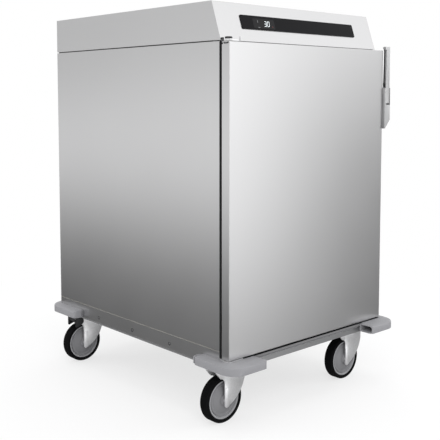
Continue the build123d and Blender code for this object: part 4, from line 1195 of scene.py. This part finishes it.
class CART_OT_stage(bpy.types.Operator):
    """Makes the floor, the backdrop, the lamps and the camera"""

    bl_idname = "cart.stage"
    bl_label = "Stage"

    def execute(self, context):
        studio = context.scene.cart_studio
        self.lay_floor(studio)
        self.paint_room(context.scene, studio)
        self.hang_cards()
        self.hang_lamps()
        self.place_camera(context.scene, studio)
        context.scene.view_settings.view_transform = "Standard"
        return {"FINISHED"}

    def lay_floor(self, studio):
        """A floor that takes the cart's shadow and fades into a white backdrop."""
        clear_selection()
        bpy.ops.mesh.primitive_circle_add(
            vertices=96, radius=30.0, fill_type="NGON", location=(0, 0, 0)
        )
        floor = bpy.context.object
        floor.name = "studio_floor"
        floor.visible_glossy = False
        tree = new_stage_material(floor, "studio floor")
        paint = tree.nodes["Principled BSDF"]
        paint.inputs["Base Color"].default_value = rgba(studio.floor)
        paint.inputs["Roughness"].default_value = 0.9
        paint.inputs["Specular IOR Level"].default_value = 0.1
        away = node(tree, "VectorMath", place_in(tree), operation="LENGTH").outputs["Value"]
        fade = node(tree, "MapRange", interpolation_type="SMOOTHSTEP", Value=away,
                    From_Min=studio.floor_near, From_Max=studio.floor_far,
                    To_Min=studio.floor_lift)
        seen = calc(tree, "MULTIPLY", fade.outputs["Result"], seen_rays(tree))
        white = node(tree, "Emission", Strength=1.0)
        feed(tree, mix_shaders(tree, seen, paint, white),
             tree.nodes["Material Output"].inputs["Surface"])

    def paint_room(self, scene, studio):
        """An even light for the cart, and plain white for the camera."""
        world = bpy.data.worlds.new("studio room")
        scene.world = world
        world.use_nodes = True
        tree = world.node_tree
        tree.nodes.clear()
        even = node(tree, "Background", Color=(1, 1, 1, 1), Strength=studio.room)
        white = node(tree, "Background", Color=(1, 1, 1, 1), Strength=1.0)
        node(tree, "OutputWorld", Surface=mix_shaders(tree, seen_rays(tree), even, white))

    def hang_cards(self):
        """A round of cards that only gloss sees: pale walls, a bright softbox and dark flags."""
        clear_selection()
        bpy.ops.mesh.primitive_uv_sphere_add(
            segments=48, ring_count=24, radius=25.0, location=(0, 0, 0)
        )
        cards = bpy.context.object
        cards.name = "studio_cards"
        for kind in ("camera", "diffuse", "shadow", "transmission", "volume_scatter"):
            setattr(cards, f"visible_{kind}", False)
        tree = new_stage_material(cards, "studio cards")
        tree.nodes.clear()
        away = node(tree, "VectorMath", place_in(tree), operation="NORMALIZE").outputs["Vector"]
        parts = node(tree, "SeparateXYZ", away).outputs
        turn = calc(tree, "ARCTAN2", calc(tree, "MULTIPLY", parts["Y"], -1.0), parts["X"])
        slopes = {axes: self.slope(tree, parts, *axes) for axes in ("XY", "YX")}
        walls = self.card(tree, slopes["XY"], CARD_WALLS)
        for (start, full, fading, end), axes, steps in CARD_SIDES.values():
            cover = calc(tree, "MULTIPLY", self.edge(tree, turn, start, full),
                         self.edge(tree, turn, end, fading))
            walls = blend(tree, "FLOAT", cover, walls, self.card(tree, slopes[axes], steps))
        glow = node(tree, "Emission", Strength=walls)
        node(tree, "OutputMaterial", Surface=glow.outputs["Emission"])

    def slope(self, tree, parts, along, across):
        """A direction's rise over its run, as a flat card that faces along one axis is seen."""
        runs = [calc(tree, "MULTIPLY", calc(tree, "ABSOLUTE", parts[axis]), weight)
                for axis, weight in ((along, 1.0), (across, 0.5))]
        return calc(tree, "DIVIDE", parts["Z"], calc(tree, "MAXIMUM", *runs))

    def card(self, tree, rise, steps):
        """Strength of a card at each slope, from pairs of a slope and a strength."""
        ramp = node(tree, "ValToRGB", calc(tree, "MULTIPLY_ADD", rise, 0.5, 0.5))
        shades = ramp.color_ramp
        shades.interpolation = "LINEAR"
        while len(shades.elements) < len(steps):
            shades.elements.new(0.5)
        for stop, (height, strength) in zip(shades.elements, steps):
            stop.position = (height + 1) / 2
            stop.color = (strength / CARD_PEAK,) * 3 + (1,)
        return calc(tree, "MULTIPLY", ramp.outputs["Color"], CARD_PEAK)

    def edge(self, tree, turn, start, end):
        """0 before one turn and 1 after another, with a soft edge between them."""
        fade = node(tree, "MapRange", interpolation_type="SMOOTHSTEP", Value=turn,
                    From_Min=radians(start), From_Max=radians(end))
        return fade.outputs["Result"]

    def hang_lamps(self):
        for name, place, size, power in LAMPS:
            clear_selection()
            bpy.ops.object.light_add(type="AREA", location=place)
            lamp = bpy.context.object
            lamp.name = name
            lamp.visible_glossy = False
            lamp.data.shape = "SQUARE"
            lamp.data.size = size
            lamp.data.energy = power
            aim = LAMP_AIM - Vector(place)
            lamp.rotation_euler = aim.to_track_quat("-Z", "Y").to_euler()

    def place_camera(self, scene, studio):
        clear_selection()
        turn = (pi / 2 + studio.camera_tilt, 0, -studio.camera_turn)
        bpy.ops.object.camera_add(location=studio.camera_place, rotation=turn)
        camera = bpy.context.object
        camera.name = "photo_camera"
        camera.data.sensor_width = 36.0
        camera.data.lens = studio.lens
        camera.data.shift_y = studio.shift
        camera.data.clip_start = 0.05
        camera.data.clip_end = 100.0
        scene.camera = camera


STEPS = (
    CART_OT_finishes,
    CART_OT_tyres,
    CART_OT_hubs,
    CART_OT_forks,
    CART_OT_pedals,
    CART_OT_bumpers,
    CART_OT_display,
    CART_OT_latch,
    CART_OT_seals,
    CART_OT_hinge_trim,
    CART_OT_fasteners,
    CART_OT_stage,
)

SETTINGS = {
    "cart_wheels": CartWheelSettings,
    "cart_trim": CartTrimSettings,
    "cart_finishes": CartFinishSettings,
    "cart_studio": CartStudioSettings,
}


class CART_PT_panel(bpy.types.Panel):
    """Lists the cart's operators and settings"""

    bl_idname = "CART_PT_panel"
    bl_label = "Heated banquet cart"
    bl_space_type = "VIEW_3D"
    bl_region_type = "UI"
    bl_category = "Cart"

    def draw(self, context):
        for step in STEPS:
            self.layout.operator(step.bl_idname)
        for name in SETTINGS:
            group = getattr(context.scene, name)
            box = self.layout.box()
            for key in group.__annotations__:
                box.prop(group, key)


def register():
    for kind in (*SETTINGS.values(), *STEPS, CART_PT_panel):
        bpy.utils.register_class(kind)
    for name, kind in SETTINGS.items():
        setattr(bpy.types.Scene, name, bpy.props.PointerProperty(type=kind))


def unregister():
    for name in SETTINGS:
        delattr(bpy.types.Scene, name)
    for kind in (CART_PT_panel, *reversed(STEPS), *reversed(SETTINGS.values())):
        bpy.utils.unregister_class(kind)


def main():
    register()
    for step in STEPS:
        group, name = step.bl_idname.split(".")
        getattr(getattr(bpy.ops, group), name)()


if __name__ == "__main__":
    main()
